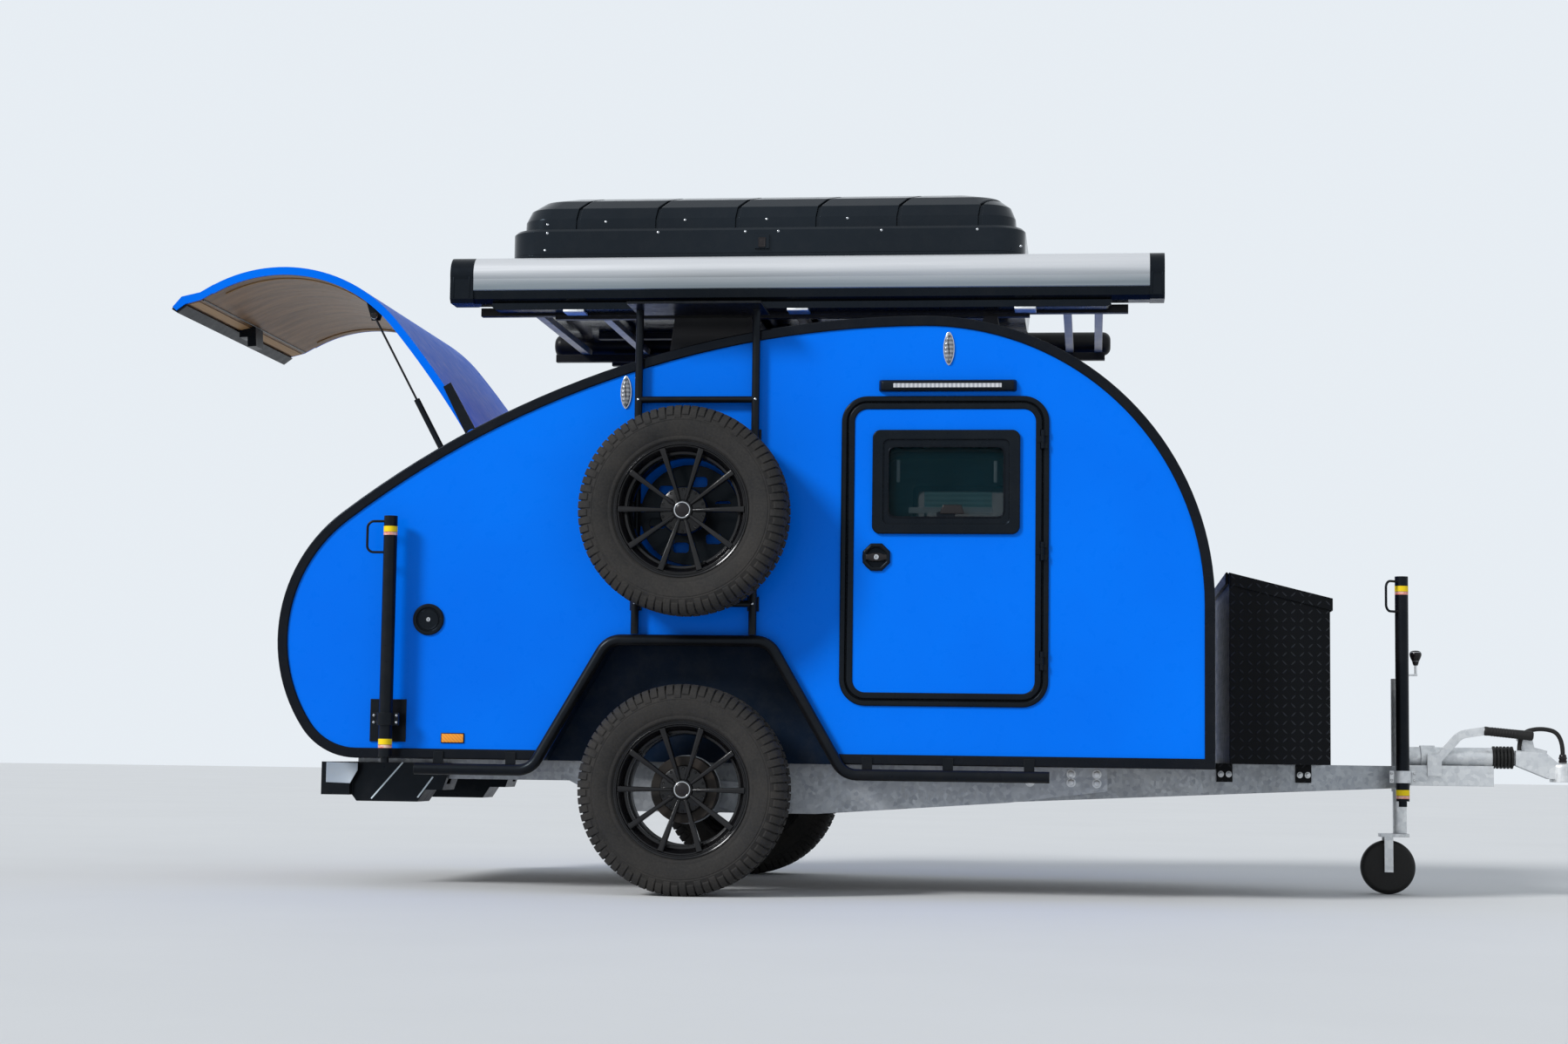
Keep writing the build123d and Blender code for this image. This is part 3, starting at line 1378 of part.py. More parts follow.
def cable():
    plug_low = cup_top + seat_gap
    cable_route = [
        (cable_start_x, drawtube_z + 26 + seat_gap), (cable_start_x, drawtube_z + 89),
        ((cable_start_x + socket_x) / 2, drawtube_z + 111), (socket_x, drawtube_z + 89),
        (socket_x, plug_low + plug_height - 1),
    ]
    points = [Vector(x, cable_plane, z) for x, z in cable_route]
    path = FilletPolyline(*points, radius=cable_bend)
    start = Plane(origin=path @ 0, z_dir=path % 0)
    lead = sweep(start * Circle(cable_radius), path=path)
    plug = Pos(socket_x, cable_plane, plug_low + plug_height / 2) * Cylinder(plug_radius, plug_height)
    return lead + plug


keep("coupling_cable", cable())
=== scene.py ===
import math
import bmesh
import bpy
from mathutils import Matrix, Vector


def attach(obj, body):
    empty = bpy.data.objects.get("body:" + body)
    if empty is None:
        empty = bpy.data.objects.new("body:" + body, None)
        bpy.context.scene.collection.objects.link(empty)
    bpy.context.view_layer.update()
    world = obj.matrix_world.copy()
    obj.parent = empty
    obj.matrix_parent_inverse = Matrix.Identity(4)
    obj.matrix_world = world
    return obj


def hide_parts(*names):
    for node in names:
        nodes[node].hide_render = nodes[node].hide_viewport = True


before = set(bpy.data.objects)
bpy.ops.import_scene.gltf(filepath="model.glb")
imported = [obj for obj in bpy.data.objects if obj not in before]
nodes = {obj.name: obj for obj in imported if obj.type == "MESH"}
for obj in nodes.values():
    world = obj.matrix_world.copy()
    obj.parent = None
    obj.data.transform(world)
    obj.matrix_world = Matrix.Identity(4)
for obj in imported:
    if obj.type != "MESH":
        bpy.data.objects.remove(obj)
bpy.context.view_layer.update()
bpy.context.scene.view_settings.view_transform = "Standard"
print("frame loaded:", len(nodes), "nodes")

# Where the CAD's own numbers start: wheel axis, centre plane and ground, in metres
shift = Vector((-3.100, 0.0, -0.455))
groundZ = -0.455


def at(x, y, z):  # millimetres from the wheel axis, centre plane and ground
    return Vector((x / 1000, y / 1000, z / 1000)) + shift


# ---- camera, first of all
cameraSet = {
    "place": (-1.7029, -9.9828, 0.0279),
    "yaw": 6.69,
    "pitch": 5.04,
    "roll": 0.77,
    "lens": 60.8,
}


def makeCamera(spec):
    yaw, pitch, roll = (math.radians(spec[k]) for k in ("yaw", "pitch", "roll"))
    ahead = Vector((-math.sin(yaw) * math.cos(pitch), math.cos(yaw) * math.cos(pitch), math.sin(pitch)))
    right = Vector((math.cos(yaw), math.sin(yaw), 0))
    up = right.cross(ahead)
    turnedRight = math.cos(roll) * right + math.sin(roll) * up
    turnedUp = -math.sin(roll) * right + math.cos(roll) * up
    bpy.ops.object.camera_add()
    cam = bpy.context.object
    cam.name = "mainCamera"
    columns = Matrix((turnedRight, turnedUp, -ahead)).transposed()
    cam.matrix_world = Matrix.Translation(spec["place"]) @ columns.to_4x4()
    cam.data.lens = spec["lens"]
    cam.data.sensor_width = 36.0
    cam.data.clip_end = 200
    bpy.context.scene.camera = cam


makeCamera(cameraSet)


# ---- materials: every finish is built from nodes on object coordinates
finishes = {}


class Finish:
    def __init__(self, name):
        self.material = finishes[name] = bpy.data.materials.new(name)
        self.material.use_nodes = True
        self.tree = self.material.node_tree
        self.shader = self.tree.nodes["Principled BSDF"]
        self.coords = self.add("ShaderNodeTexCoord").outputs["Object"]

    def add(self, kind, **values):
        node = self.tree.nodes.new(kind)
        for key, value in values.items():
            if hasattr(node, key):
                setattr(node, key, value)
            else:
                node.inputs[key.replace("_", " ")].default_value = value
        return node

    def link(self, source, target):
        self.tree.links.new(source, target)

    def noise(self, scale, detail=3.0, rough=0.5, stretch=(1, 1, 1), source=None):
        spread = self.add("ShaderNodeMapping")
        spread.inputs["Scale"].default_value = stretch
        self.link(source or self.coords, spread.inputs["Vector"])
        tex = self.add("ShaderNodeTexNoise")
        tex.inputs["Scale"].default_value = scale
        tex.inputs["Detail"].default_value = detail
        tex.inputs["Roughness"].default_value = rough
        self.link(spread.outputs["Vector"], tex.inputs["Vector"])
        return tex.outputs["Fac"]

    def remap(self, value, low, high, outLow=0.0, outHigh=1.0):
        node = self.add("ShaderNodeMapRange")
        for key, number in (("From Min", low), ("From Max", high), ("To Min", outLow), ("To Max", outHigh)):
            node.inputs[key].default_value = number
        self.link(value, node.inputs["Value"])
        return node.outputs["Result"]

    def math(self, kind, first, second=None):
        node = self.add("ShaderNodeMath", operation=kind)
        for number, value in enumerate((first, second)):
            if value is None:
                continue
            if isinstance(value, (int, float)):
                node.inputs[number].default_value = value
            else:
                self.link(value, node.inputs[number])
        return node.outputs["Value"]

    def blend(self, amount, colourA, colourB):
        node = self.add("ShaderNodeMix", data_type="RGBA")
        self.link(amount, node.inputs["Factor"])
        for socket, colour in ((node.inputs[6], colourA), (node.inputs[7], colourB)):
            if isinstance(colour, tuple):
                socket.default_value = (*colour, 1)
            else:
                self.link(colour, socket)
        return node.outputs[2]

    def edges(self, radius):  # 0 on flat faces, rising at hard edges
        bevel = self.add("ShaderNodeBevel", samples=4)
        bevel.inputs["Radius"].default_value = radius
        geo = self.add("ShaderNodeNewGeometry")
        dot = self.add("ShaderNodeVectorMath", operation="DOT_PRODUCT")
        self.link(bevel.outputs["Normal"], dot.inputs[0])
        self.link(geo.outputs["Normal"], dot.inputs[1])
        return self.remap(dot.outputs["Value"], 1.0, 0.86)

    def bump(self, height, strength, distance, softEdge=0.0):
        node = self.add("ShaderNodeBump")
        node.inputs["Strength"].default_value = strength
        node.inputs["Distance"].default_value = distance
        self.link(height, node.inputs["Height"])
        if softEdge:
            bevel = self.add("ShaderNodeBevel", samples=4)
            bevel.inputs["Radius"].default_value = softEdge
            self.link(bevel.outputs["Normal"], node.inputs["Normal"])
        self.link(node.outputs["Normal"], self.shader.inputs["Normal"])

    def set(self, **values):
        names = {
            "metal": "Metallic", "rough": "Roughness", "coat": "Coat Weight", "coatRough": "Coat Roughness",
            "specular": "Specular IOR Level", "glass": "Transmission Weight", "ior": "IOR",
            "sheen": "Sheen Weight", "alpha": "Alpha",
        }
        for key, value in values.items():
            self.shader.inputs[names[key]].default_value = value

    def colour(self, value):
        if isinstance(value, tuple):
            self.shader.inputs["Base Color"].default_value = (*value, 1)
        else:
            self.link(value, self.shader.inputs["Base Color"])

    def roughness(self, value):
        self.link(value, self.shader.inputs["Roughness"])


def makePainted(name, colour, shade, rough=0.35, coat=0.0, metal=0.0, grain=900.0, grainDepth=0.0004,
                grainStrength=0.12, blotch=1.6, worn=None, wornAmount=0.5, softEdge=0.003, dust=None, specular=0.5,
                tint=(1.0, 1.0, 1.0)):
    fin = Finish(name)
    # Specular Tint colours the reflections; the bluish tints given below are painted reflection of a blue sky
    fin.shader.inputs["Specular Tint"].default_value = (*tint, 1)
    broad = fin.noise(blotch, 4, 0.55)
    tone = fin.blend(fin.remap(broad, 0.3, 0.7), colour, shade)
    if dust:
        fine = fin.noise(14.0, 8, 0.7)
        tone = fin.blend(fin.remap(fine, 0.45, 0.75, 0.0, dust[1]), tone, dust[0])
    if worn:
        patch = fin.noise(34.0, 6, 0.65)
        edge = fin.math("MULTIPLY", fin.edges(0.004), fin.remap(patch, 0.42, 0.62, 0.0, wornAmount))
        tone = fin.blend(edge, tone, worn)
    fin.colour(tone)
    fin.set(metal=metal, coat=coat, coatRough=0.08, specular=specular)
    fin.roughness(fin.remap(fin.noise(22.0, 6, 0.6), 0.3, 0.7, max(rough - 0.06, 0.03), rough + 0.08))
    fin.bump(fin.noise(grain, 2, 0.5), grainStrength, grainDepth, softEdge)


def makeGalvanised(name, bright, dull, rough=0.42):
    fin = Finish(name)
    cells = fin.add("ShaderNodeTexVoronoi")
    cells.inputs["Scale"].default_value = 70.0
    fin.link(fin.coords, cells.inputs["Vector"])
    sep = fin.add("ShaderNodeSeparateColor")
    fin.link(cells.outputs["Color"], sep.inputs["Color"])
    broad = fin.noise(5.0, 6, 0.65)
    both = fin.math("ADD", fin.math("MULTIPLY", sep.outputs["Red"], 0.35), fin.math("MULTIPLY", broad, 0.9))
    tone = fin.blend(fin.remap(both, 0.3, 0.95), dull, bright)
    streak = fin.noise(9.0, 7, 0.7, (1, 1, 0.12))
    tone = fin.blend(fin.remap(streak, 0.56, 0.8, 0.0, 0.5), tone, (0.22, 0.21, 0.2))
    fin.colour(tone)
    fin.set(metal=0.75, specular=0.5)
    fin.roughness(fin.remap(sep.outputs["Green"], 0.0, 1.0, rough - 0.08, rough + 0.14))
    fin.bump(fin.noise(160.0, 4, 0.6), 0.2, 0.0006, 0.003)


def makeWood(name, pale, dark, edgeTone, along=(0.35, 7, 7), rough=0.42, coat=0.15, specular=0.5):
    fin = Finish(name)
    wave = fin.noise(5.0, 9, 0.62, along)
    fine = fin.noise(70.0, 6, 0.6, along)
    both = fin.math("ADD", fin.math("MULTIPLY", wave, 0.75), fin.math("MULTIPLY", fine, 0.3))
    tone = fin.blend(fin.remap(both, 0.35, 0.7), dark, pale)
    tone = fin.blend(fin.edges(0.003), tone, edgeTone)
    fin.colour(tone)
    fin.set(coat=coat, coatRough=0.25, specular=specular)
    fin.roughness(fin.remap(fine, 0.3, 0.7, rough - 0.06, rough + 0.12))
    fin.bump(both, 0.12, 0.0008, 0.0015)


def makeShadedCaseMetal(name, litUpper, lower):  # anodised sheet, brushed along x, with painted shade: darker towards its lower edge, lighter at its lit top
    fin = Finish(name)
    place = fin.add("ShaderNodeSeparateXYZ")
    fin.link(fin.coords, place.inputs[0])
    brushed = fin.noise(60.0, 4, 0.6, (0.02, 1, 1))
    # painted shade: the colour rises from the dark lower edge to the lit top colour
    rise = fin.remap(place.outputs["Z"], at(0, 0, 2158).z, at(0, 0, 2232).z)
    rise = fin.math("ADD", rise, fin.remap(brushed, 0.3, 0.7, -0.07, 0.07))
    fin.colour(fin.blend(rise, lower, litUpper))
    fin.set(metal=0.35, specular=0.35)
    fin.roughness(fin.remap(brushed, 0.3, 0.7, 0.3, 0.44))
    fin.bump(brushed, 0.08, 0.0003)


def makeRubber(name, colour, dusty, rough=0.82, dust=0.5):
    fin = Finish(name)
    broad = fin.noise(7.0, 7, 0.65)
    fine = fin.noise(130.0, 5, 0.6)
    both = fin.math("ADD", fin.math("MULTIPLY", broad, 0.7), fin.math("MULTIPLY", fine, 0.35))
    fin.colour(fin.blend(fin.remap(both, 0.35, 0.75, 0.0, dust), colour, dusty))
    fin.set(specular=0.3)
    fin.roughness(fin.remap(broad, 0.3, 0.7, rough - 0.12, rough + 0.1))
    fin.bump(fine, 0.25, 0.0008, 0.002)


def makeTreadPlate(name, colour, bright):
    fin = Finish(name)
    geo = fin.add("ShaderNodeNewGeometry")
    facing = fin.add("ShaderNodeSeparateXYZ")
    place = fin.add("ShaderNodeSeparateXYZ")
    fin.link(geo.outputs["Normal"], facing.inputs[0])
    fin.link(fin.coords, place.inputs[0])
    endOn = fin.math("GREATER_THAN", fin.math("ABSOLUTE", facing.outputs["X"]), 0.7)
    level = fin.math("GREATER_THAN", fin.math("ABSOLUTE", facing.outputs["Z"]), 0.7)

    def choose(test, yes, no):
        node = fin.add("ShaderNodeMix", data_type="FLOAT")
        fin.link(test, node.inputs[0])
        fin.link(yes, node.inputs[2])
        fin.link(no, node.inputs[3])
        return node.outputs[0]

    across = choose(endOn, place.outputs["X"], place.outputs["Y"])
    upward = choose(level, place.outputs["Z"], place.outputs["Y"])
    pitch = 0.030
    u = fin.math("DIVIDE", across, pitch)
    v = fin.math("DIVIDE", upward, pitch)
    column = fin.math("FLOOR", u)
    row = fin.math("FLOOR", v)
    odd = fin.math("PINGPONG", fin.math("ADD", column, row), 1.0)
    du = fin.math("SUBTRACT", fin.math("FRACT", u), 0.5)
    dv = fin.math("SUBTRACT", fin.math("FRACT", v), 0.5)
    plus = fin.math("ADD", du, dv)
    minus = fin.math("SUBTRACT", du, dv)
    longSide = choose(odd, plus, minus)
    shortSide = choose(odd, minus, plus)
    length = fin.math("POWER", fin.math("DIVIDE", longSide, 0.58), 2.0)
    width = fin.math("POWER", fin.math("DIVIDE", shortSide, 0.15), 2.0)
    height = fin.remap(fin.math("ADD", length, width), 1.0, 0.55)
    # the raised diamonds get the lighter colour: a painted highlight, as if they catch the light
    tone = fin.blend(fin.math("MULTIPLY", height, 0.6), colour, bright)
    fin.colour(tone)
    fin.set(specular=0.1)
    fin.roughness(fin.remap(fin.noise(30.0, 5, 0.6), 0.3, 0.7, 0.3, 0.45))
    fin.bump(height, 0.85, 0.0022, 0.002)


def makePane(name):
    fin = Finish(name)
    fin.colour(fin.blend(fin.remap(fin.noise(3.0, 5, 0.6), 0.4, 0.7), (0.001, 0.014, 0.02), (0.003, 0.024, 0.034)))
    fin.set(alpha=0.55, ior=1.45, coat=0.0, specular=0.12)
    fin.roughness(fin.remap(fin.noise(12.0, 6, 0.6), 0.4, 0.8, 0.03, 0.12))


def makeLens(name, colour, shade, ribs=(0, 0, 300), glass=0.35, rough=0.12):
    fin = Finish(name)
    place = fin.add("ShaderNodeVectorMath", operation="DOT_PRODUCT")
    fin.link(fin.coords, place.inputs[0])
    place.inputs[1].default_value = ribs
    wave = fin.math("SINE", place.outputs["Value"])
    fin.colour(fin.blend(fin.remap(wave, -1.0, 1.0), colour, shade))
    fin.set(glass=glass, rough=rough, coat=0.6, ior=1.49)
    fin.bump(wave, 0.5, 0.0012)


def makeFabric(name, pale, dark):
    fin = Finish(name)
    place = fin.add("ShaderNodeSeparateXYZ")
    fin.link(fin.coords, place.inputs[0])
    weft = fin.math("SINE", fin.math("MULTIPLY", place.outputs["X"], 1800.0))
    warp = fin.math("SINE", fin.math("MULTIPLY", place.outputs["Y"], 1800.0))
    weave = fin.math("MULTIPLY", weft, warp)
    broad = fin.noise(9.0, 6, 0.6)
    both = fin.math("ADD", fin.math("MULTIPLY", weave, 0.15), broad)
    fin.colour(fin.blend(fin.remap(both, 0.3, 0.75), dark, pale))
    fin.set(sheen=0.3, specular=0.2)
    fin.roughness(fin.remap(broad, 0.3, 0.7, 0.85, 0.95))
    fin.bump(weave, 0.25, 0.0006)


# the bluish tint values in these paints colour their reflections as a blue sky would: painted reflection
makePainted("bodyBlue", (0.0, 0.178, 0.9), (0.0, 0.15, 0.82), 0.3, 0.04, grain=260.0, grainDepth=0.0003,
            grainStrength=0.03, blotch=1.1, softEdge=0.0, specular=0.1, tint=(0.35, 0.6, 1.0))
# hatch: a somewhat darker copy of the body blue, painted shade of the hatch
makePainted("hatchShadedBlue", (0.0, 0.16, 0.86), (0.0, 0.135, 0.78), 0.4, 0.0, grain=60.0, grainDepth=0.0001,
            grainStrength=0.01, blotch=1.4, softEdge=0.0, specular=0.05, tint=(0.4, 0.7, 1.0))
# wheel wells: the body's blue darkened almost to black, painted shade inside the arches; the dust is real
makePainted("wellShadedBlue", (0.002, 0.012, 0.035), (0.003, 0.009, 0.02), 0.5, dust=((0.05, 0.05, 0.05), 0.25),
            softEdge=0.0, specular=0.1)
makePainted("trimBlack", (0.003, 0.003, 0.004), (0.006, 0.006, 0.007), 0.24, 0.06, grain=500.0, grainStrength=0.05,
            dust=((0.08, 0.07, 0.06), 0.05), specular=0.14, tint=(0.5, 0.7, 1.0))
makePainted("frameBlack", (0.003, 0.004, 0.005), (0.006, 0.007, 0.008), 0.27, 0.06, grain=700.0, grainStrength=0.12,
            dust=((0.1, 0.09, 0.08), 0.03), specular=0.14, tint=(0.5, 0.7, 1.0))
makePainted("coatedBlack", (0.003, 0.003, 0.004), (0.006, 0.006, 0.007), 0.32, 0.05, grain=650.0, grainDepth=0.0005,
            grainStrength=0.25, worn=(0.12, 0.11, 0.1), wornAmount=0.25, dust=((0.12, 0.1, 0.08), 0.04),
            specular=0.15, tint=(0.6, 0.8, 1.0))
makePainted("rackBlack", (0.004, 0.004, 0.005), (0.008, 0.008, 0.009), 0.4, 0.02, grain=600.0, grainDepth=0.0005,
            grainStrength=0.3, worn=(0.16, 0.15, 0.13), wornAmount=0.35, specular=0.15)
makePainted("shellBlack", (0.003, 0.004, 0.006), (0.005, 0.007, 0.01), 0.16, 0.16, grain=240.0, grainDepth=0.0004,
            grainStrength=0.05, dust=((0.12, 0.11, 0.1), 0.03), softEdge=0.004, specular=0.2, tint=(0.6, 0.8, 1.0))
makePainted("rimBlack", (0.003, 0.003, 0.004), (0.006, 0.006, 0.007), 0.15, 0.15, grain=400.0, grainStrength=0.04,
            dust=((0.14, 0.12, 0.1), 0.05), softEdge=0.002, specular=0.25)
# awning case: a lit top colour and a dark lower colour, painted light and shade
makeShadedCaseMetal("awningGrey", (0.62, 0.63, 0.65), (0.2, 0.235, 0.26))
makeGalvanised("zincBright", (0.78, 0.79, 0.79), (0.55, 0.57, 0.59))
makeGalvanised("zincDull", (0.46, 0.48, 0.5), (0.28, 0.3, 0.33), 0.5)
makePainted("castDark", (0.02, 0.019, 0.018), (0.035, 0.03, 0.026), 0.6, metal=0.4, grain=90.0, grainDepth=0.0015,
            grainStrength=0.4, dust=((0.08, 0.055, 0.04), 0.3), specular=0.25)
makePainted("steelBright", (0.6, 0.61, 0.62), (0.5, 0.51, 0.52), 0.18, metal=1.0, grain=300.0, grainStrength=0.04)
makeWood("plyPale", (0.56, 0.37, 0.2), (0.4, 0.24, 0.12), (0.25, 0.14, 0.07))
makeWood("plyDark", (0.19, 0.14, 0.1), (0.11, 0.08, 0.06), (0.07, 0.05, 0.04), rough=0.6, coat=0.0)
makeWood("hatchLining", (0.25, 0.145, 0.07), (0.1, 0.055, 0.025), (0.07, 0.04, 0.02), along=(0.8, 4, 0.8), rough=0.36,
         coat=0.05, specular=0.15)
makeWood("stripTan", (0.42, 0.27, 0.13), (0.3, 0.18, 0.08), (0.2, 0.12, 0.06), along=(7, 0.35, 7), rough=0.5,
         coat=0.0, specular=0.2)
makePainted("barPale", (0.4, 0.46, 0.52), (0.28, 0.33, 0.39), 0.4, grain=500.0, grainStrength=0.1,
            dust=((0.5, 0.47, 0.42), 0.3), specular=0.25)
makeWood("cabinLining", (0.5, 0.44, 0.36), (0.38, 0.33, 0.27), (0.3, 0.26, 0.21), along=(1, 1, 6), rough=0.6,
         coat=0.0, specular=0.2)
makeRubber("tyreRubber", (0.009, 0.009, 0.0095), (0.062, 0.056, 0.05), dust=0.62)
makeRubber("plainRubber", (0.007, 0.007, 0.007), (0.04, 0.036, 0.032), 0.6, 0.3)
# toolbox tread plate: the second colour is a painted highlight on the raised diamonds
makeTreadPlate("treadPlate", (0.002, 0.0025, 0.0035), (0.028, 0.031, 0.036))
makePane("paneSmoked")
makeLens("lensRed", (0.5, 0.01, 0.012), (0.32, 0.006, 0.008), (0, 700, 0))
makeLens("lensClear", (0.42, 0.44, 0.47), (0.14, 0.15, 0.18), (0, 0, 420), 0.3)
makeLens("lensAmber", (0.95, 0.36, 0.0), (0.8, 0.24, 0.0), (500, 0, 500), 0.0)
makePainted("chrome", (0.6, 0.61, 0.63), (0.46, 0.48, 0.5), 0.12, metal=1.0, grain=120.0, grainStrength=0.03,
            softEdge=0.0)
makePainted("capBlack", (0.006, 0.005, 0.006), (0.012, 0.009, 0.01), 0.22, 0.12, grain=300.0, grainStrength=0.05,
            softEdge=0.0, specular=0.25)
# window bead: a grey-blue lighter than the black frame, a painted highlight on the frame's step
makePainted("beadHighlightGrey", (0.06, 0.075, 0.085), (0.035, 0.045, 0.052), 0.18, 0.2, grain=300.0, grainStrength=0.04,
            softEdge=0.0, specular=0.5)
makeLens("ledWhite", (0.62, 0.63, 0.65), (0.34, 0.35, 0.38), (420, 0, 0), 0.0, 0.3)
makeFabric("pipingCloth", (0.3, 0.28, 0.26), (0.22, 0.2, 0.19))
makeFabric("blindTeal", (0.34, 0.66, 0.68), (0.24, 0.5, 0.54))
makePainted("stayPale", (0.78, 0.88, 0.92), (0.6, 0.7, 0.76), 0.4, grain=300.0, grainStrength=0.05)
makePainted("rodDark", (0.012, 0.012, 0.014), (0.02, 0.02, 0.022), 0.2, metal=0.3, grain=500.0, grainStrength=0.03,
            specular=0.25)
makePainted("labelYellow", (0.95, 0.72, 0.01), (0.88, 0.6, 0.01), 0.45, 0.02, grain=300.0, grainStrength=0.04,
            dust=((0.5, 0.36, 0.1), 0.12), softEdge=0.0, specular=0.15)
makePainted("labelRed", (0.7, 0.06, 0.03), (0.85, 0.62, 0.5), 0.4, 0.2, grain=300.0, grainStrength=0.04, blotch=60.0,
            softEdge=0.0)
makePainted("crossbarBare", (0.5, 0.47, 0.42), (0.4, 0.37, 0.33), 0.4, metal=0.7, grain=380.0, grainDepth=0.0004,
            grainStrength=0.15, dust=((0.3, 0.24, 0.18), 0.3))
makeFabric("mattressCloth", (0.56, 0.53, 0.48), (0.42, 0.4, 0.37))
print("finishes made:", len(finishes))

nodeFinish = {
    "bodyBlue": ["side_wall_right", "side_wall_left", "roof_skin", "hatch_surround", "door_right", "door_left"],
    "plyDark": ["floor_panel"],
    "wellShadedBlue": ["wheel_wells"],
    "trimBlack": ["edge_trims"],
    "coatedBlack": ["side_tubes", "hatch_fittings", "strut_cylinders", "spare_ladder", "rear_stand_right",
                    "rear_stand_left", "front_stand", "rear_stand_brackets", "rear_light_bar"],
    "plyPale": ["galley_cabinet"],
    "mattressCloth": ["mattress"],
    "frameBlack": ["door_frames", "door_right_fittings", "door_left_fittings", "awning_black_parts", "service_port"],
    "paneSmoked": ["door_right_pane", "door_left_pane"],
    "hatchShadedBlue": ["hatch_panel"],
    "rodDark": ["strut_rods"],
    "tyreRubber": ["tyre_right", "tyre_left", "spare_tyre"],
    "rimBlack": ["rim_right", "rim_left", "spare_rim"],
    "castDark": ["hub_right", "hub_left"],
    "zincDull": ["axle", "chassis_frame"],
    "rackBlack": ["roof_rack", "pole_tube"],
    "awningGrey": ["awning_case"],
    "shellBlack": ["roof_shell_base", "roof_shell_lid"],
    "zincBright": ["drawbar_clamps", "jockey_leg", "jockey_fork", "overrun_housing", "coupling_head",
                   "handbrake_lever"],
    "plainRubber": ["jockey_wheel", "drawbar_bellows", "coupling_cable"],
    "treadPlate": ["toolbox_body", "toolbox_lid"],
    "lensRed": ["rear_lamps"],
    "lensClear": ["wall_lamps"],
    "crossbarBare": ["rack_crossbars"],
}


def dress(obj, finishName):
    obj.data.materials.clear()
    obj.data.materials.append(finishes[finishName])


dressed = set()
for finishName, nodeNames in nodeFinish.items():
    for nodeName in nodeNames:
        dress(nodes[nodeName], finishName)
        dressed.add(nodeName)
print("nodes dressed; without a finish:", [name for name in nodes if name not in dressed])


# ---- helpers for modelling by hand
def leaveEdit():
    bpy.ops.object.mode_set(mode="OBJECT")


def clearPick():
    if bpy.context.mode != "OBJECT":
        leaveEdit()
    bpy.ops.object.select_all(action="DESELECT")


def applyPlace():
    bpy.ops.object.transform_apply(location=True, rotation=True, scale=True)


def only(obj):
    clearPick()
    obj.select_set(True)
    bpy.context.view_layer.objects.active = obj


def edit(obj, kind="FACE"):
    only(obj)
    bpy.ops.object.mode_set(mode="EDIT")
    bpy.ops.mesh.select_mode(type=kind)
    bpy.ops.mesh.select_all(action="SELECT")


def pick(obj, test, kind="FACE"):  # in edit mode: faces, edges or corners chosen by place or normal
    bpy.ops.mesh.select_mode(type=kind)
    bpy.ops.mesh.select_all(action="DESELECT")
    mesh = bmesh.from_edit_mesh(obj.data)
    for item in {"FACE": mesh.faces, "EDGE": mesh.edges, "VERT": mesh.verts}[kind]:
        if test(item):
            item.select_set(True)
    bmesh.update_edit_mesh(obj.data)


def move(*step):
    bpy.ops.transform.translate(value=step)


def keepFaces(obj, test):  # deletes all the other faces and stays in edit mode
    edit(obj)
    pick(obj, test)
    bpy.ops.mesh.select_all(action="INVERT")
    bpy.ops.mesh.delete(type="FACE")
    bpy.ops.mesh.select_all(action="SELECT")


rightward, leftward, downward, forward = (0, -1, 0), (0, 1, 0), (0, 0, -1), (1, 0, 0)


def stepFace(obj, way, *steps):  # the faces that look one way: an inset and a rise for each step
    edit(obj)
    pick(obj, lambda f: f.normal.dot(Vector(way)) > 0.9)
    for inset, rise in steps:
        bpy.ops.mesh.inset(thickness=inset)
        move(*(Vector(way) * rise))
    leaveEdit()


def addBox(name, low, high):
    clearPick()
    low, high = Vector(low), Vector(high)
    bpy.ops.mesh.primitive_cube_add(size=1, location=(low + high) / 2)
    obj = bpy.context.object
    obj.name = name
    obj.scale = high - low
    applyPlace()
    return obj


def addRod(name, start, end, radius, sides=24):
    clearPick()
    start, end = Vector(start), Vector(end)
    run = end - start
    turn = Vector((0, 0, 1)).rotation_difference(run).to_euler()
    bpy.ops.mesh.primitive_cylinder_add(vertices=sides, radius=radius, depth=run.length,
                                        location=(start + end) / 2, rotation=turn)
    obj = bpy.context.object
    obj.name = name
    applyPlace()
    return obj


def drawLine(name, points, closed=False):  # a chain of edges, extruded corner by corner
    clearPick()
    points = [Vector(p) for p in points]
    bpy.ops.mesh.primitive_plane_add(size=0.01, location=points[0])
    obj = bpy.context.object
    obj.name = name
    applyPlace()
    edit(obj, "VERT")
    bpy.ops.mesh.merge(type="CENTER")
    for last, point in zip(points, points[1:] + points[:1] if closed else points[1:]):
        bpy.ops.mesh.extrude_region_move(TRANSFORM_OT_translate={"value": point - last})
    bpy.ops.mesh.select_all(action="SELECT")
    bpy.ops.mesh.remove_doubles(threshold=0.00001)
    leaveEdit()
    return obj


def closeUp(obj, merge=0.00002):  # merges doubles, then turns every face outwards
    edit(obj, "VERT")
    bpy.ops.mesh.remove_doubles(threshold=merge)
    bpy.ops.mesh.normals_make_consistent(inside=False)
    leaveEdit()


def spinRound(obj, centre, axis, steps):
    edit(obj, "VERT")
    bpy.ops.mesh.spin(steps=steps, angle=math.tau, center=centre, axis=axis)
    closeUp(obj)


def spinCopies(obj, centre, axis, count):
    edit(obj, "VERT")
    bpy.ops.mesh.spin(steps=count, dupli=True, angle=math.tau, center=centre, axis=axis)
    closeUp(obj)


def onWheel(spec, radius, side, turn=0.0):  # millimetres from a crosswise axis, and outwards from its centre
    return spec["centre"] + Vector((radius / 1000 * math.sin(turn), -side / 1000, radius / 1000 * math.cos(turn)))


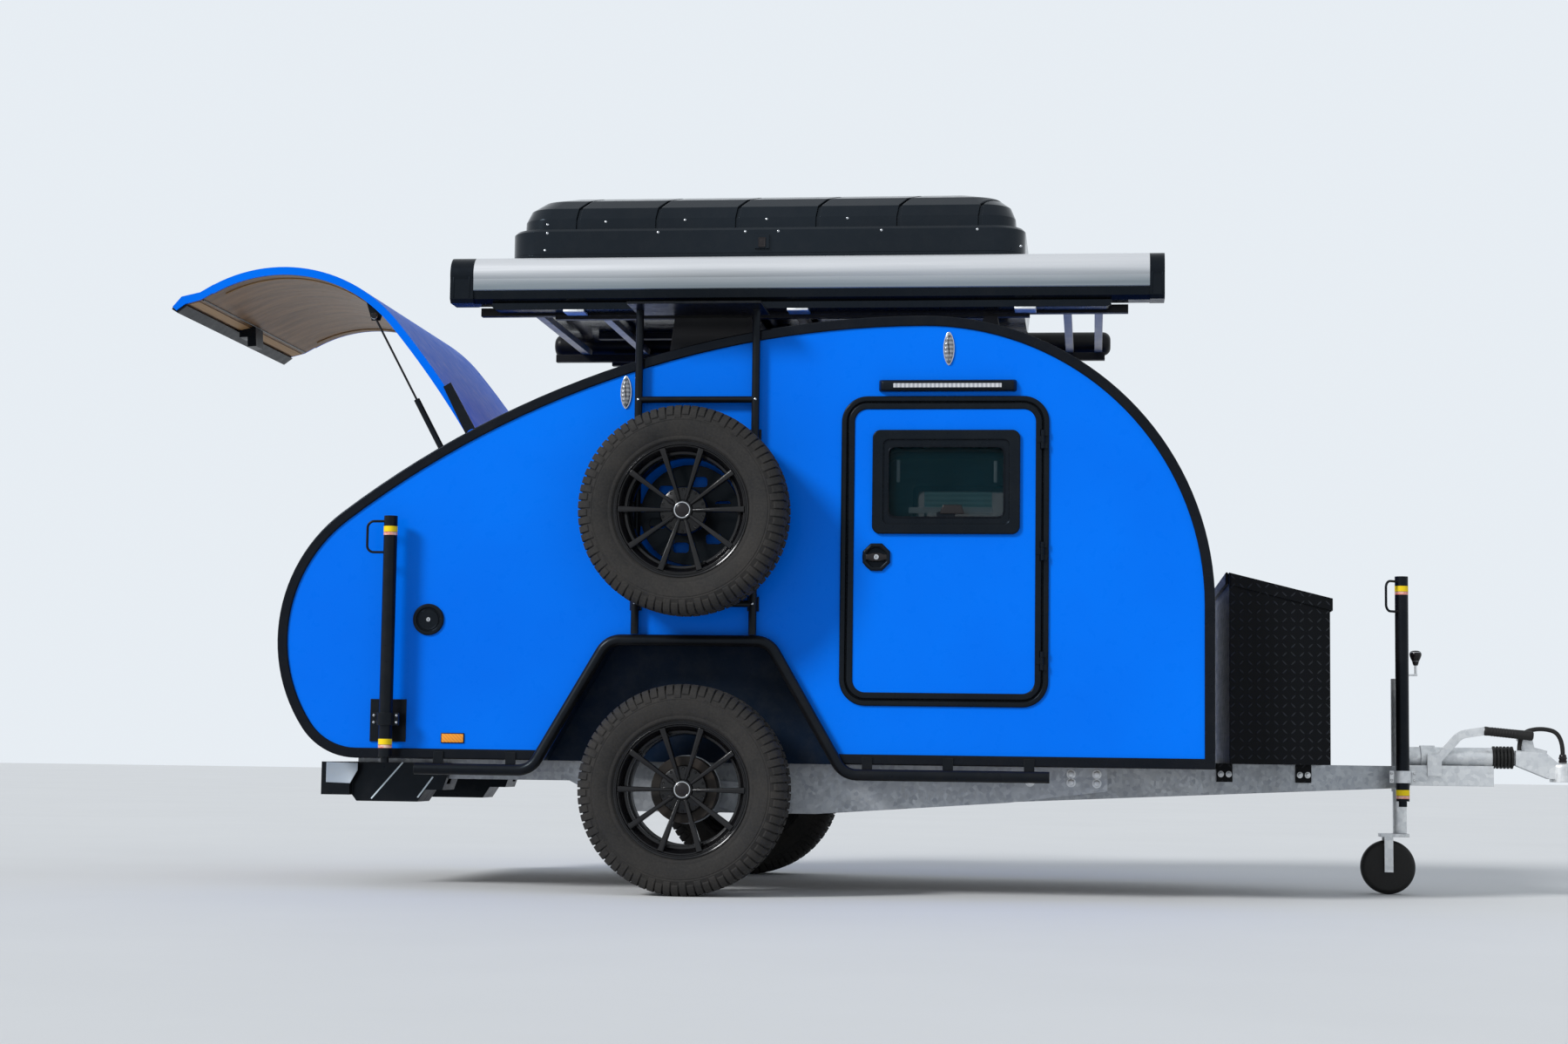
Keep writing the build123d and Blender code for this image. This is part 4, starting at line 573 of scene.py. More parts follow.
def spunPiece(spec, name, section, steps=None, turn=0.0):  # a section of radius and distance, about that axis
    piece = drawLine(name, [onWheel(spec, radius, side, turn) for radius, side in section], closed=True)
    spinRound(piece, spec["centre"], leftward, steps or spec["steps"])
    return piece


def uprightPiece(name, base, section, steps=40):  # a section of radius and height, about an upright axis
    piece = drawLine(name, [base + Vector((radius / 1000, 0, up / 1000)) for radius, up in section], closed=True)
    spinRound(piece, base, (0, 0, 1), steps)
    return piece


def thicken(line, radius):  # turns a chain of edges into a round tube
    only(line)
    bpy.ops.object.convert(target="CURVE")
    line.data.bevel_depth = radius
    line.data.bevel_resolution = 2
    bpy.ops.object.convert(target="MESH")
    return line


def plateFrom(name, points, depth):  # a flat outline pushed out into a plate
    obj = drawLine(name, points, closed=True)
    edit(obj, "VERT")
    bpy.ops.mesh.edge_face_add()
    bpy.ops.mesh.extrude_region_move(TRANSFORM_OT_translate={"value": depth})
    closeUp(obj)
    return obj


def soften(obj, width, segments=2, angle=30):
    only(obj)
    mod = obj.modifiers.new("softEdge", "BEVEL")
    mod.width = width
    mod.segments = segments
    mod.limit_method = "ANGLE"
    mod.angle_limit = math.radians(angle)
    bpy.ops.object.modifier_apply(modifier=mod.name)


def ownCopy(obj, name):  # a copy with its own mesh
    clearPick()
    copy = obj.copy()
    copy.data = obj.data.copy()
    copy.name = name
    bpy.context.collection.objects.link(copy)
    return copy


def twin(obj, name, offset=(0, 0, 0), flip=False):  # a copy that is moved, or mirrored to the far side
    copy = ownCopy(obj, name)
    only(copy)
    if flip:
        copy.scale = (1, -1, 1)
    copy.location = offset
    applyPlace()
    if flip:
        closeUp(copy)
    return copy


def merge(name, pieces):
    clearPick()
    for piece in pieces:
        piece.select_set(True)
    bpy.context.view_layer.objects.active = pieces[0]
    bpy.ops.object.join()
    obj = bpy.context.object
    obj.name = name
    return obj


def settle(obj, finishName, body, smooth=35):
    only(obj)
    applyPlace()
    bpy.ops.object.shade_smooth_by_angle(angle=math.radians(smooth))
    dress(obj, finishName)
    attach(obj, body)
    return obj


def settleBoth(piece, finishName, right="trailer", left="trailer"):  # the piece and its mirrored twin
    other = twin(piece, piece.name.replace("Right", "Left"), flip=True)
    settle(piece, finishName, right)
    settle(other, finishName, left)


# ---- tyres: a spun casing with its tread and shoulder blocks
tyre = {
    "centre": at(0, -905, 362),
    "steps": 144,
    "pairs": 38,
    # radius and half width of the casing, in millimetres, from the bead to the crown
    "casing": [(219, 84), (224, 90.5), (233, 94), (238, 95.5), (240.5, 99.5), (244, 101.5), (253, 101.5),
               (256, 103.5), (266, 107), (280, 110.4), (294, 111.8), (303, 111.8), (304.5, 110.4), (308, 110.4),
               (310, 111.4), (313, 109.5), (328, 105.5), (339, 99), (347, 91), (351, 80), (352, 55), (352.4, 0)],
    # outer line of the long shoulder block, then of the short one
    "longBlock": [(315, 112.1), (330, 109.4), (343, 103.2), (354, 94.5), (360, 84), (361.6, 58)],
    "shortBlock": [(327, 110.0), (336, 106.8), (345, 101.8), (354.5, 93.5), (360, 83), (361.6, 66)],
    "blockDepth": 12,
    "shoulder": 345,
    "blockHalf": 0.0116,
    "innerRadius": 357,
    # columns: side and distance along the tread, half width in metres, turn
    "innerBlocks": [(40, -0.0135, 0.0118, 0.3), (38, 0.0155, 0.0112, -0.25), (13, 0.001, 0.0125, -0.3),
                    (-14, -0.015, 0.012, 0.28)],
}


def shoulderBlock(spec, line, turn, half):
    depth = spec["blockDepth"]
    inner = [(radius - depth * 0.8, side - depth * (0.75 if radius < spec["shoulder"] else 0.25))
             for radius, side in reversed(line)]
    points = [onWheel(spec, radius, side) - Vector((half, 0, 0)) for radius, side in line + inner]
    block = plateFrom("shoulderBlock", points, (2 * half, 0, 0))
    edit(block)
    bpy.ops.transform.rotate(value=-turn, orient_axis="Y", center_override=spec["centre"])
    leaveEdit()
    return block


def treadBlock(spec, side, along, half, skew):
    centre = onWheel(spec, spec["innerRadius"], side)
    block = addBox("treadBlock", centre - Vector((half, 0.0115, 0.0055)), centre + Vector((half, 0.0115, 0.0046)))
    edit(block)
    pick(block, lambda f: f.normal.z > 0.9)
    bpy.ops.transform.resize(value=(0.86, 0.86, 1.0))
    bpy.ops.mesh.select_all(action="SELECT")
    bpy.ops.transform.rotate(value=skew, orient_axis="Z", center_override=centre)
    bpy.ops.transform.rotate(value=-along / 0.36, orient_axis="Y", center_override=spec["centre"])
    leaveEdit()
    return block


def makeTyre(spec):
    farHalf = [(radius, -side) for radius, side in reversed(spec["casing"][:-1])]
    body = spunPiece(spec, "casing", spec["casing"] + farHalf)
    pitch = math.tau / spec["pairs"]
    blocks = [shoulderBlock(spec, spec["longBlock"], -pitch * 0.25, spec["blockHalf"]),
              shoulderBlock(spec, spec["shortBlock"], pitch * 0.25, spec["blockHalf"])]
    far = [twin(block, "farBlock") for block in blocks]
    for block in far:
        edit(block)
        bpy.ops.transform.resize(value=(1, -1, 1), center_override=spec["centre"])
        bpy.ops.transform.rotate(value=-pitch * 0.12, orient_axis="Y", center_override=spec["centre"])
        closeUp(block)
    blocks += far
    for side, along, half, skew in spec["innerBlocks"]:
        blocks.append(treadBlock(spec, side, along, half, skew))
        if abs(side) > 30:
            blocks.append(treadBlock(spec, -side, along + 0.006, half, -skew))
    tread = merge("tread", blocks)
    soften(tread, 0.0013, 1)
    spinCopies(tread, spec["centre"], leftward, spec["pairs"])
    return merge("tyreRight", [body, tread])


spareShift = at(-10, -945, 1321) - tyre["centre"]
tyreRight = makeTyre(tyre)
tyreLeft = twin(tyreRight, "tyreLeft", flip=True)
spareTyre = twin(tyreRight, "spareTyre", spareShift)
for piece, node, body in ((tyreRight, "tyre_right", "wheel_right"), (tyreLeft, "tyre_left", "wheel_left"),
                          (spareTyre, "spare_tyre", "trailer")):
    settle(piece, "tyreRubber", body, 30)
    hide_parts(node)
print("tyres made")


# ---- rims: double lip, ten ridged spokes, hub with nuts and a plain cap
rim = {
    "centre": tyre["centre"],
    "steps": 96,
    "spokes": 10,
    # closed section of the barrel: radius and distance outwards from the wheel's middle
    "barrel": [(235, 98), (233.5, 95.5), (230, 94.5), (227.5, 93), (226.5, 95.5), (223.5, 95.5), (221, 88), (214, 80),
               (205, 62), (197, 40), (190, 0), (188, -40), (200, -70), (212, -92), (226, -97), (235, -98),
               (235, -93), (217.5, -88), (217.5, -62), (194, -36), (194, 50), (217.5, 64), (217.5, 88), (235, 93.5)],
    "spoke": {"start": 34, "end": 221, "startHalf": 5.0, "endHalf": 10.5, "front": 92, "hubFront": 60, "depth": 26},
    # radius and distance outwards of the hub's face
    "hub": [(0, 40), (27, 40), (29.5, 58), (33, 58), (37, 50), (62, 46), (80, 40), (84, 30), (84, 6), (0, 6)],
    "cap": [(0, 61.5), (20, 61.0), (23.5, 59.0), (24, 54), (0, 54)],
    "capRing": [(24.4, 56), (24.4, 61.5), (26, 62.8), (28.6, 62.2), (29.2, 56)],
    # circle, count, front, radius in metres, sides, first one's turn
    "nuts": (54, 5, 58, 0.0095, 6, 0.31),
    "bolts": (73, 10, 46, 0.0042, 12, 0.0),
    "valve": ((205, 66), (199, 92), 2.7, 0.0032),
}


def makeSpoke(spec):
    s = spec["spoke"]
    piece = addBox("spoke", onWheel(spec, s["start"], s["front"]) - Vector((s["endHalf"] / 1000, 0, 0)),
                   onWheel(spec, s["end"], s["front"] - s["depth"]) + Vector((s["endHalf"] / 1000, 0, 0)))
    edit(piece)
    lowZ = onWheel(spec, s["start"], 0).z
    pick(piece, lambda v: abs(v.co.z - lowZ) < 0.001, "VERT")
    bpy.ops.transform.resize(value=(s["startHalf"] / s["endHalf"], 1, 1))
    move(0, (s["front"] - s["hubFront"]) / 1000, 0)
    pick(piece, lambda f: f.normal.y < -0.8)
    bpy.ops.mesh.inset(thickness=0.0032)
    move(0.0015, -0.0032, 0)
    leaveEdit()
    soften(piece, 0.0009, 2)
    edit(piece)
    bpy.ops.transform.rotate(value=math.pi / spec["spokes"], orient_axis="Y", center_override=spec["centre"])
    spinCopies(piece, spec["centre"], leftward, spec["spokes"])
    return piece


def makeNuts(spec, name, circle, count, front, radius, sides, turn=0.0):
    nut = addRod(name, onWheel(spec, circle, front - 16, turn), onWheel(spec, circle, front, turn), radius, sides)
    stepFace(nut, rightward, (radius * 0.22, radius * 0.16), (radius * 0.3, -radius * 0.25))
    soften(nut, radius * 0.07, 1)
    spinCopies(nut, spec["centre"], leftward, count)
    return nut


def makeRim(spec):
    parts = [spunPiece(spec, "barrel", spec["barrel"]), makeSpoke(spec), spunPiece(spec, "hubFace", spec["hub"], 64)]
    parts += [makeNuts(spec, name, *spec[name]) for name in ("nuts", "bolts")]
    foot, tip, turn, radius = spec["valve"]
    parts.append(addRod("valve", onWheel(spec, *foot, turn), onWheel(spec, *tip, turn), radius, 12))
    body = merge("rimRight", parts)
    ring = spunPiece(spec, "capRingRight", spec["capRing"], 64)
    cap = spunPiece(spec, "capRight", spec["cap"], 64)
    return body, ring, cap


rimPieces = makeRim(rim)
rimSets = {
    "Left": [twin(piece, piece.name.replace("Right", "Left"), flip=True) for piece in rimPieces],
    "Spare": [twin(piece, piece.name.replace("Right", "Spare"), spareShift) for piece in rimPieces],
    "Right": list(rimPieces),
}
for side, body, node in (("Right", "wheel_right", "rim_right"), ("Left", "wheel_left", "rim_left"),
                         ("Spare", "trailer", "spare_rim")):
    wheelRim, ring, cap = rimSets[side]
    settle(wheelRim, "rimBlack", body, 30)
    settle(ring, "steelBright", body, 50)
    settle(cap, "capBlack", body, 50)
    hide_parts(node)
print("rims made")


# ---- laminate lining on the inner face of the hatch
lining = {"hinge": at(-826, 0, 1610), "angle": 87.0, "lift": 0.0006, "focus": at(-700, 0, 1250), "lipTop": 512}


def nodeCopy(name, node):
    copy = ownCopy(nodes[node], name)
    copy.parent = None
    copy.matrix_world = Matrix.Identity(4)
    edit(copy, "VERT")
    bpy.ops.mesh.remove_doubles(threshold=0.00002)
    leaveEdit()
    return copy


def makeLining(spec):
    skin = nodeCopy("hatchLining", "hatch_panel")
    turnBack = Matrix.Rotation(math.radians(-spec["angle"]), 4, "Y")
    lipTop = at(0, 0, spec["lipTop"]).z

    def inner(face):
        centre = spec["hinge"] + turnBack @ (face.calc_center_median() - spec["hinge"])
        normal = turnBack @ face.normal
        inward = spec["focus"] - centre
        inward.y = 0
        return abs(normal.y) < 0.2 and centre.z > lipTop and normal.dot(inward.normalized()) > 0.6

    keepFaces(skin, inner)
    bpy.ops.transform.resize(value=(1, 0.985, 1))
    bpy.ops.transform.shrink_fatten(value=spec["lift"])
    leaveEdit()
    return skin


settle(makeLining(lining), "hatchLining", "hatch")
print("hatch lining made")


# ---- hatch trims: a tan strip inside the lip, a dark bead beside it, an edge bead in tan as a painted highlight line, and the strut knuckles
hatchTrims = {
    "strip": [(-1387, 545), (-1394, 583), (-1391, 584), (-1384, 546)],
    "stripHalf": 638,
    "darkBead": (-1398, 598, 3.5),
    "edgeHighlightBeads": [-583, 583],
    "edgeBead": 0.0022,
    # start of the rear arcs, then the radius and turn of each, as the body's outline has them
    "arcStart": (-1202, 455),
    "arcs": [(242, 55.7), (565, 87.2), (3455, 37.0)],
    "inset": 30.5,
    "beadLow": 660,
    "beadHigh": -915,
    "samples": 24,
    "knuckles": [(-1225, -612, 2069), (-1225, 612, 2069)],
    "knuckleHalf": 5,
    "knuckleRadius": 0.0125,
}


def hatchTurn(x, y, z):  # from the closed hatch to its place when open
    closed = at(x, y, z) - lining["hinge"]
    return lining["hinge"] + Matrix.Rotation(math.radians(lining["angle"]), 4, "Y") @ closed


def arcPoints(spec, y):  # the skin's inner line, sampled along the arcs
    start = Vector(spec["arcStart"])
    heading = math.pi
    points = []
    for radius, turn in spec["arcs"]:
        toCentre = Vector((-math.sin(heading), math.cos(heading))) * -radius
        centre = start + toCentre
        for number in range(spec["samples"] + 1):
            angle = -math.radians(turn) * number / spec["samples"]
            spoke = Matrix.Rotation(angle, 2) @ -toCentre
            inner = centre + spoke * (radius - spec["inset"]) / radius
            if inner.y > spec["beadLow"] and inner.x < spec["beadHigh"]:
                points.append(hatchTurn(inner.x, y, inner.y))
        start = centre + Matrix.Rotation(-math.radians(turn), 2) @ -toCentre
        heading -= math.radians(turn)
    return points


def makeHatchTrims(spec):
    half = spec["stripHalf"]
    strip = plateFrom("lipStrip", [hatchTurn(x, -half, z) for x, z in spec["strip"]], (0, 2 * half / 1000, 0))
    soften(strip, 0.0006, 1)
    x, z, radius = spec["darkBead"]
    dark = addRod("lipBead", hatchTurn(x, -half, z), hatchTurn(x, half, z), radius / 1000, 12)
    beads = merge("hatchHighlightBeads", [thicken(drawLine("hatchBead", arcPoints(spec, y)), spec["edgeBead"])
                                     for y in spec["edgeHighlightBeads"]])
    return strip, dark, beads


lipStrip, lipBead, edgeHighlightBeads = makeHatchTrims(hatchTrims)
settle(lipStrip, "stripTan", "hatch")
settle(lipBead, "capBlack", "hatch")
# the edge beads are real beads, but their tan colour is a painted highlight line along the lining
settle(edgeHighlightBeads, "stripTan", "hatch", 60)
for number, (x, y, z) in enumerate(hatchTrims["knuckles"]):
    half = hatchTrims["knuckleHalf"]
    collar = addRod(f"strutKnuckle{number}", at(x, y - half, z), at(x, y + half, z), hatchTrims["knuckleRadius"], 32)
    soften(collar, 0.003, 3)
    settle(collar, "steelBright", "strut_pistons")
print("hatch trims made")


# ---- pale lining inside the cabin: on the walls, the roof skin and the doors
cabin = {"rear": at(-420, 0, 0).x, "focus": at(700, 0, 1000), "lift": 0.0006}
cabinSides = {
    "side_wall_right": ("trailer", lambda f, spec: f.normal.y > 0.9),
    "side_wall_left": ("trailer", lambda f, spec: f.normal.y < -0.9),
    "door_right": ("door_right", lambda f, spec: f.normal.y > 0.9),
    "door_left": ("door_left", lambda f, spec: f.normal.y < -0.9),
    "roof_skin": ("trailer", lambda f, spec: abs(f.normal.y) < 0.2
                  and f.normal.dot((spec["focus"] - f.calc_center_median()) * Vector((1, 0, 1))) > 0),
}


def makeCabinSide(spec, node, isInner):
    sheet = nodeCopy(f"lining_{node}", node)
    keepFaces(sheet, lambda f: isInner(f, spec))
    bpy.ops.mesh.bisect(plane_co=(spec["rear"], 0, 0), plane_no=(1, 0, 0), clear_inner=True)
    bpy.ops.mesh.select_all(action="SELECT")
    bpy.ops.transform.shrink_fatten(value=spec["lift"])
    leaveEdit()
    return sheet


for node, (body, isInner) in cabinSides.items():
    settle(makeCabinSide(cabin, node, isInner), "cabinLining", body)
print("cabin lining made")


# ---- lamps on the walls: pointed markers, the lamp over each door, amber reflectors
wallLamps = {
    "markers": [(892, 1912), (-253, 1760)],
    "markerHalf": (20, 60),
    "doorLamp": (646, 1132, 1758, 1803),
    "reflector": (-895, -810, 511, 547),
    "wall": -780,
}


def pointedOutline(x, z, halfWidth, halfHeight, y, count=9):
    right = []
    for number in range(count + 1):
        turn = math.pi * number / count - math.pi / 2
        across = halfWidth * math.cos(turn) ** 1.25 if abs(math.cos(turn)) > 1e-6 else 0.0
        right.append((across, math.sin(turn) * halfHeight))
    left = [(-across, up) for across, up in reversed(right[1:-1])]
    return [at(x + across, y, z + up) for across, up in right + left]


def makeMarker(spec, x, z):
    wide, tall = spec["markerHalf"]
    wall = spec["wall"]
    base = plateFrom("markerBase", pointedOutline(x, z, wide, tall, wall), (0, -0.004, 0))
    lens = plateFrom("markerLens", pointedOutline(x, z, wide - 3, tall - 5, wall - 3.5), (0, -0.0045, 0))
    stepFace(lens, rightward, (0.005, 0.0036), (0.005, 0.0008))
    soften(base, 0.0012, 2)
    soften(lens, 0.0008, 2)
    return base, lens


def makeDoorLamp(spec):
    left, right, low, high = spec["doorLamp"]
    wall = spec["wall"]
    body = addBox("doorLampRight", at(left, wall - 30, low), at(right, wall, high))
    edit(body)
    pick(body, lambda f: f.normal.y < -0.9)
    bpy.ops.transform.resize(value=(0.95, 1, 0.76))
    move(0, 0, -0.002)
    leaveEdit()
    soften(body, 0.007, 3)
    strip = addBox("doorLampStripRight", at(left + 54, wall - 32, low + 13), at(right - 54, wall - 24, low + 28))
    stepFace(strip, rightward, (0.0025, -0.0006))
    soften(strip, 0.0012, 2)
    return body, strip


def makeReflector(spec):
    left, right, low, high = spec["reflector"]
    wall = spec["wall"]
    rim = addBox("reflectorRimRight", at(left, wall - 4, low), at(right, wall, high))
    soften(rim, 0.0025, 2)
    lens = addBox("reflectorRight", at(left + 3, wall - 5.6, low + 3), at(right - 3, wall - 3, high - 3))
    soften(lens, 0.0012, 2)
    return rim, lens


lampPieces = []
for number, (x, z) in enumerate(wallLamps["markers"]):
    base, lens = makeMarker(wallLamps, x, z)
    base.name, lens.name = f"markerBaseRight{number}", f"markerLensRight{number}"
    lampPieces += [(base, "chrome", "strut_rod_steel"), (lens, "lensClear", "clear_lens")]
housing, strip = makeDoorLamp(wallLamps)
rimPiece, lensPiece = makeReflector(wallLamps)
lampPieces += [(housing, "frameBlack", "black_plastic"), (strip, "ledWhite", "clear_lens"),
               (rimPiece, "frameBlack", "black_plastic"), (lensPiece, "lensAmber", "clear_lens")]
for piece, finishName, slotName in lampPieces:
    settleBoth(piece, finishName)
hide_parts("wall_lamps")
print("wall lamps made")


# ---- door furniture: latch plate, turn handle and lock, window beads, catch, stays and blind
doorParts = {
    "outer": -788,
    "latch": (645, 1177),
    "handleHalf": (38, 9.5),
    "plateRing": [(37.5, 0), (37.5, 9), (41, 12.2), (47, 12.2), (51.5, 8.5), (52.5, 0)],
    "lockRim": [(0, 9), (0, 13.6), (7.6, 13.6), (9.2, 12.4), (9.6, 9)],
    "window": (886, 1441),
    # beads: width, height, corner radius and band width
    "bead": (443, 300, 21, 2.6),
    "innerBead": (408, 252, 26, 5),
    "stays": [(717, 1482, 12, 78), (1057, 1480, 12, 76)],
    # from the window's middle: left, right, low and high
    "sill": (-132, 162, -107, -86),
    "blind": (-77, 159, -91, -32),
    "catch": (-21, 65, -112, -80),
}


def roundedPlane(name, centre, width, height, corner, segments=7):  # an upright panel that faces the right side
    clearPick()
    bpy.ops.mesh.primitive_plane_add(size=1, location=centre, rotation=(math.pi / 2, 0, 0))
    obj = bpy.context.object
    obj.name = name
    obj.scale = (width / 1000, height / 1000, 1)
    applyPlace()
    edit(obj, "VERT")
    bpy.ops.mesh.bevel(offset=corner / 1000, segments=segments, affect="VERTICES")
    leaveEdit()
    return obj


def roundedRing(name, centre, size, rise):  # a rounded bead: width, height, corner radius and band width
    width, height, corner, band = size
    ring = roundedPlane(name, centre, width, height, corner)
    edit(ring)
    bpy.ops.mesh.inset(thickness=band / 1000)
    bpy.ops.mesh.delete(type="FACE")
    bpy.ops.mesh.select_all(action="SELECT")
    bpy.ops.mesh.extrude_region_move(TRANSFORM_OT_translate={"value": (0, -rise / 1000, 0)})
    closeUp(ring)
    soften(ring, min(band, rise) * 0.00038, 3)
    return ring


def makeDoorParts(spec):
    x, z = spec["latch"]
    y = spec["outer"]
    spot = {"centre": at(x, y, z)}
    plate = spunPiece(spot, "latchPlateRight", spec["plateRing"], 8, math.tau / 16)
    soften(plate, 0.0016, 2, 20)
    wide, tall = spec["handleHalf"]
    handle = addBox("latchHandleRight", at(x - wide, y - 11, z - tall), at(x + wide, y + 6, z + tall))
    edit(handle, "VERT")
    pick(handle, lambda e: abs(e.verts[0].co.x - e.verts[1].co.x) > 0.05, "EDGE")
    bpy.ops.mesh.subdivide(number_cuts=5)
    pick(handle, lambda v: abs(v.co.x - at(x, 0, 0).x) < 0.016, "VERT")
    bpy.ops.transform.resize(value=(1, 1, 1.5))
    leaveEdit()
    soften(handle, 0.003, 2)
    lock = spunPiece(spot, "latchLockRight", spec["lockRim"], 32)
    keyhole = addBox("latchKeyholeRight", at(x - 1.1, y - 14.2, z - 4.2), at(x + 1.1, y - 13.4, z + 4.2))
    soften(keyhole, 0.0004, 1)
    wx, wz = spec["window"]
    # the bead's grey-blue finish is a painted highlight along the window's step
    bead = roundedRing("windowBeadRight", at(wx, y - 6, wz), spec["bead"], 3.2)
    glazing = roundedRing("windowGasketRight", at(wx, y - 5.5, wz), spec["innerBead"], 4.0)
    pieces = [(plate, "frameBlack", "black_plastic"), (handle, "capBlack", "black_plastic"),
              (lock, "chrome", "strut_rod_steel"), (keyhole, "capBlack", "black_plastic"),
              (bead, "beadHighlightGrey", "black_plastic"), (glazing, "trimBlack", "black_plastic")]
    for number, (sx, sz, wide, tall) in enumerate(spec["stays"]):
        stay = addBox(f"windowStayRight{number}", at(sx - wide / 2, y + 22, sz - tall / 2),
                      at(sx + wide / 2, y + 29, sz + tall / 2))
        soften(stay, 0.002, 2)
        pieces.append((stay, "stayPale", "black_plastic"))

    def windowBox(name, key, front, back):
        left, right, low, high = spec[key]
        return addBox(name, at(wx + left, y + front, wz + low), at(wx + right, y + back, wz + high))

    sill = windowBox("blindRailRight", "sill", 22, 28)
    stepFace(sill, rightward, (0.003, -0.002))
    soften(sill, 0.0008, 1)
    pieces.append((sill, "stayPale", "black_plastic"))
    blind = windowBox("blindRight", "blind", 30, 31.5)
    foot = at(0, 0, wz + spec["blind"][2]).z
    edit(blind)
    pick(blind, lambda f: abs(f.normal.y) > 0.9)
    bpy.ops.mesh.subdivide(number_cuts=6)
    pick(blind, lambda v: int(round((v.co.z - foot) * 118.6)) % 2 == 1, "VERT")  # every other row
    move(0, 0.003, 0)
    leaveEdit()
    pieces.append((blind, "blindTeal", "mattress_cover"))
    catch = windowBox("windowCatchRight", "catch", -10, -3)
    edit(catch)
    pick(catch, lambda f: f.normal.z > 0.9)
    bpy.ops.transform.resize(value=(0.75, 1, 1))
    leaveEdit()
    soften(catch, 0.003, 3)
    pieces.append((catch, "capBlack", "black_plastic"))
    return pieces


for piece, finishName, slotName in makeDoorParts(doorParts):
    settleBoth(piece, finishName, "door_right", "door_left")
print("door furniture made")


# ---- service port: bezel, stepped cap and its lock
port = {
    "centre": at(-950, -780, 948),
    "bezel": [(0, 0), (0, 5.0), (34, 5.0), (36.5, 6.5), (38.5, 4.0), (41, 4.0), (43.5, 8.6), (52, 9.0), (55.8, 6.0),
              (56, 0)],
    "lock": [(0, 4.5), (0, 8.8), (6.2, 8.8), (7.6, 7.6), (8, 4.5)],
}


def makePort(spec):
    body = spunPiece(spec, "servicePort", spec["bezel"], 72)
    lock = spunPiece(spec, "portLock", spec["lock"], 32)
    keyhole = addBox("portKeyhole", spec["centre"] - Vector((0.0012, 0.0095, 0.0045)),
                     spec["centre"] + Vector((0.0012, -0.0086, 0.0045)))
    soften(keyhole, 0.0004, 1)
    return body, lock, keyhole


portBody, portLock, portKeyhole = makePort(port)
settle(portBody, "frameBlack", "trailer", 30)
settle(portLock, "chrome", "trailer", 30)
settle(portKeyhole, "capBlack", "trailer")
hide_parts("service_port")
print("service port made")


# ---- prop stands: blank label bands, and the bolts through their clamps
stands = {
    "rearRight": {"axis": at(-1078, -850, 440), "body": "stand_rear_right", "clamp": 593, "tops": [0.834, 0.083]},
    "rearLeft": {"axis": at(-1078, 850, 440), "body": "stand_rear_left", "clamp": 593, "tops": [0.834, 0.083]},
    "front": {"axis": at(2513, -150, 328), "body": "stand_front", "clamp": 436, "tops": [0.800, 0.061]},
}
labelBands = {"radius": 0.0243, "yellow": 0.020, "gap": 0.0012, "lower": 0.0105}
clampBolts = {
    "aside": 0.0405,
    "up": 0.012,
    # columns: start and end outwards in millimetres, radius
    "steps": [(6.5, 11.5, 0.0052), (11, 14, 0.0028)],
}


def makeBand(name, axis, low, high, radius):
    clearPick()
    bpy.ops.mesh.primitive_cylinder_add(vertices=48, radius=radius, depth=high - low, end_fill_type="NOTHING",
                                        location=axis + Vector((0, 0, (low + high) / 2)))
    band = bpy.context.object
    band.name = name
    edit(band)
    bpy.ops.mesh.solidify(thickness=0.0002)
    leaveEdit()
    return band


for standName, spec in stands.items():
    for number, top in enumerate(spec["tops"]):
        middle = top - labelBands["yellow"]
        yellow = makeBand(f"labelYellow_{standName}{number}", spec["axis"], middle, top, labelBands["radius"])
        under = middle - labelBands["gap"]
        lower = makeBand(f"labelRed_{standName}{number}", spec["axis"], under - labelBands["lower"], under,
                         labelBands["radius"])
        settle(yellow, "labelYellow", spec["body"])
        settle(lower, "labelRed", spec["body"])
    x, y = spec["axis"].x, spec["axis"].y
    z = at(0, 0, spec["clamp"]).z
    outward = -1 if y < 0 else 1
    heads = [addRod("boltHead", (x + side * clampBolts["aside"], y + outward * a / 1000, z + rise * clampBolts["up"]),
                    (x + side * clampBolts["aside"], y + outward * b / 1000, z + rise * clampBolts["up"]), radius, 6)
             for side in (-1, 1) for rise in (-1, 1) for a, b, radius in clampBolts["steps"]]
    for head in heads:
        soften(head, 0.0006, 1)
    settle(merge(f"clampBolts_{standName}", heads), "steelBright", "trailer")
print("stand details made")


# ---- roof shell: small domed screws and the latch lever
shellParts = {
    "side": -570,
    "dome": -534,
    "screwHome": 2300,
    "skirtScrews": [(-595, 2378), (-184, 2378), (137, 2378), (258, 2378), (633, 2378), (979, 2378),
                    (-603, 2315), (1135, 2315)],
    "domeScrews": [(-602, 2417), (-385, 2426), (-91, 2430), (210, 2430), (506, 2430)],
    "latch": ((187, -584, 2318), (213, -578, 2354)),
    "screw": [(0, -1.0), (0, 2.6), (2.6, 2.3), (4.4, 1.3), (5.2, 0), (5.2, -1.0)],
}


def makeScrews(spec):
    home = {"centre": at(0, spec["side"], spec["screwHome"])}
    first = spunPiece(home, "shellScrew", spec["screw"], 16)
    screws = [twin(first, "shellScrew", at(x, spec[side], z) - home["centre"])
              for side, places in (("side", "skirtScrews"), ("dome", "domeScrews")) for x, z in spec[places]]
    bpy.data.objects.remove(first)
    return merge("shellScrews", screws)


settle(makeScrews(shellParts), "chrome", "shell_cover", 50)
latch = addBox("shellLatchLever", *(at(*corner) for corner in shellParts["latch"]))
stepFace(latch, rightward, (0.005, -0.0022), (0.004, 0.0012))
soften(latch, 0.0015, 2)
settle(latch, "capBlack", "shell_cover")
print("roof shell details made")


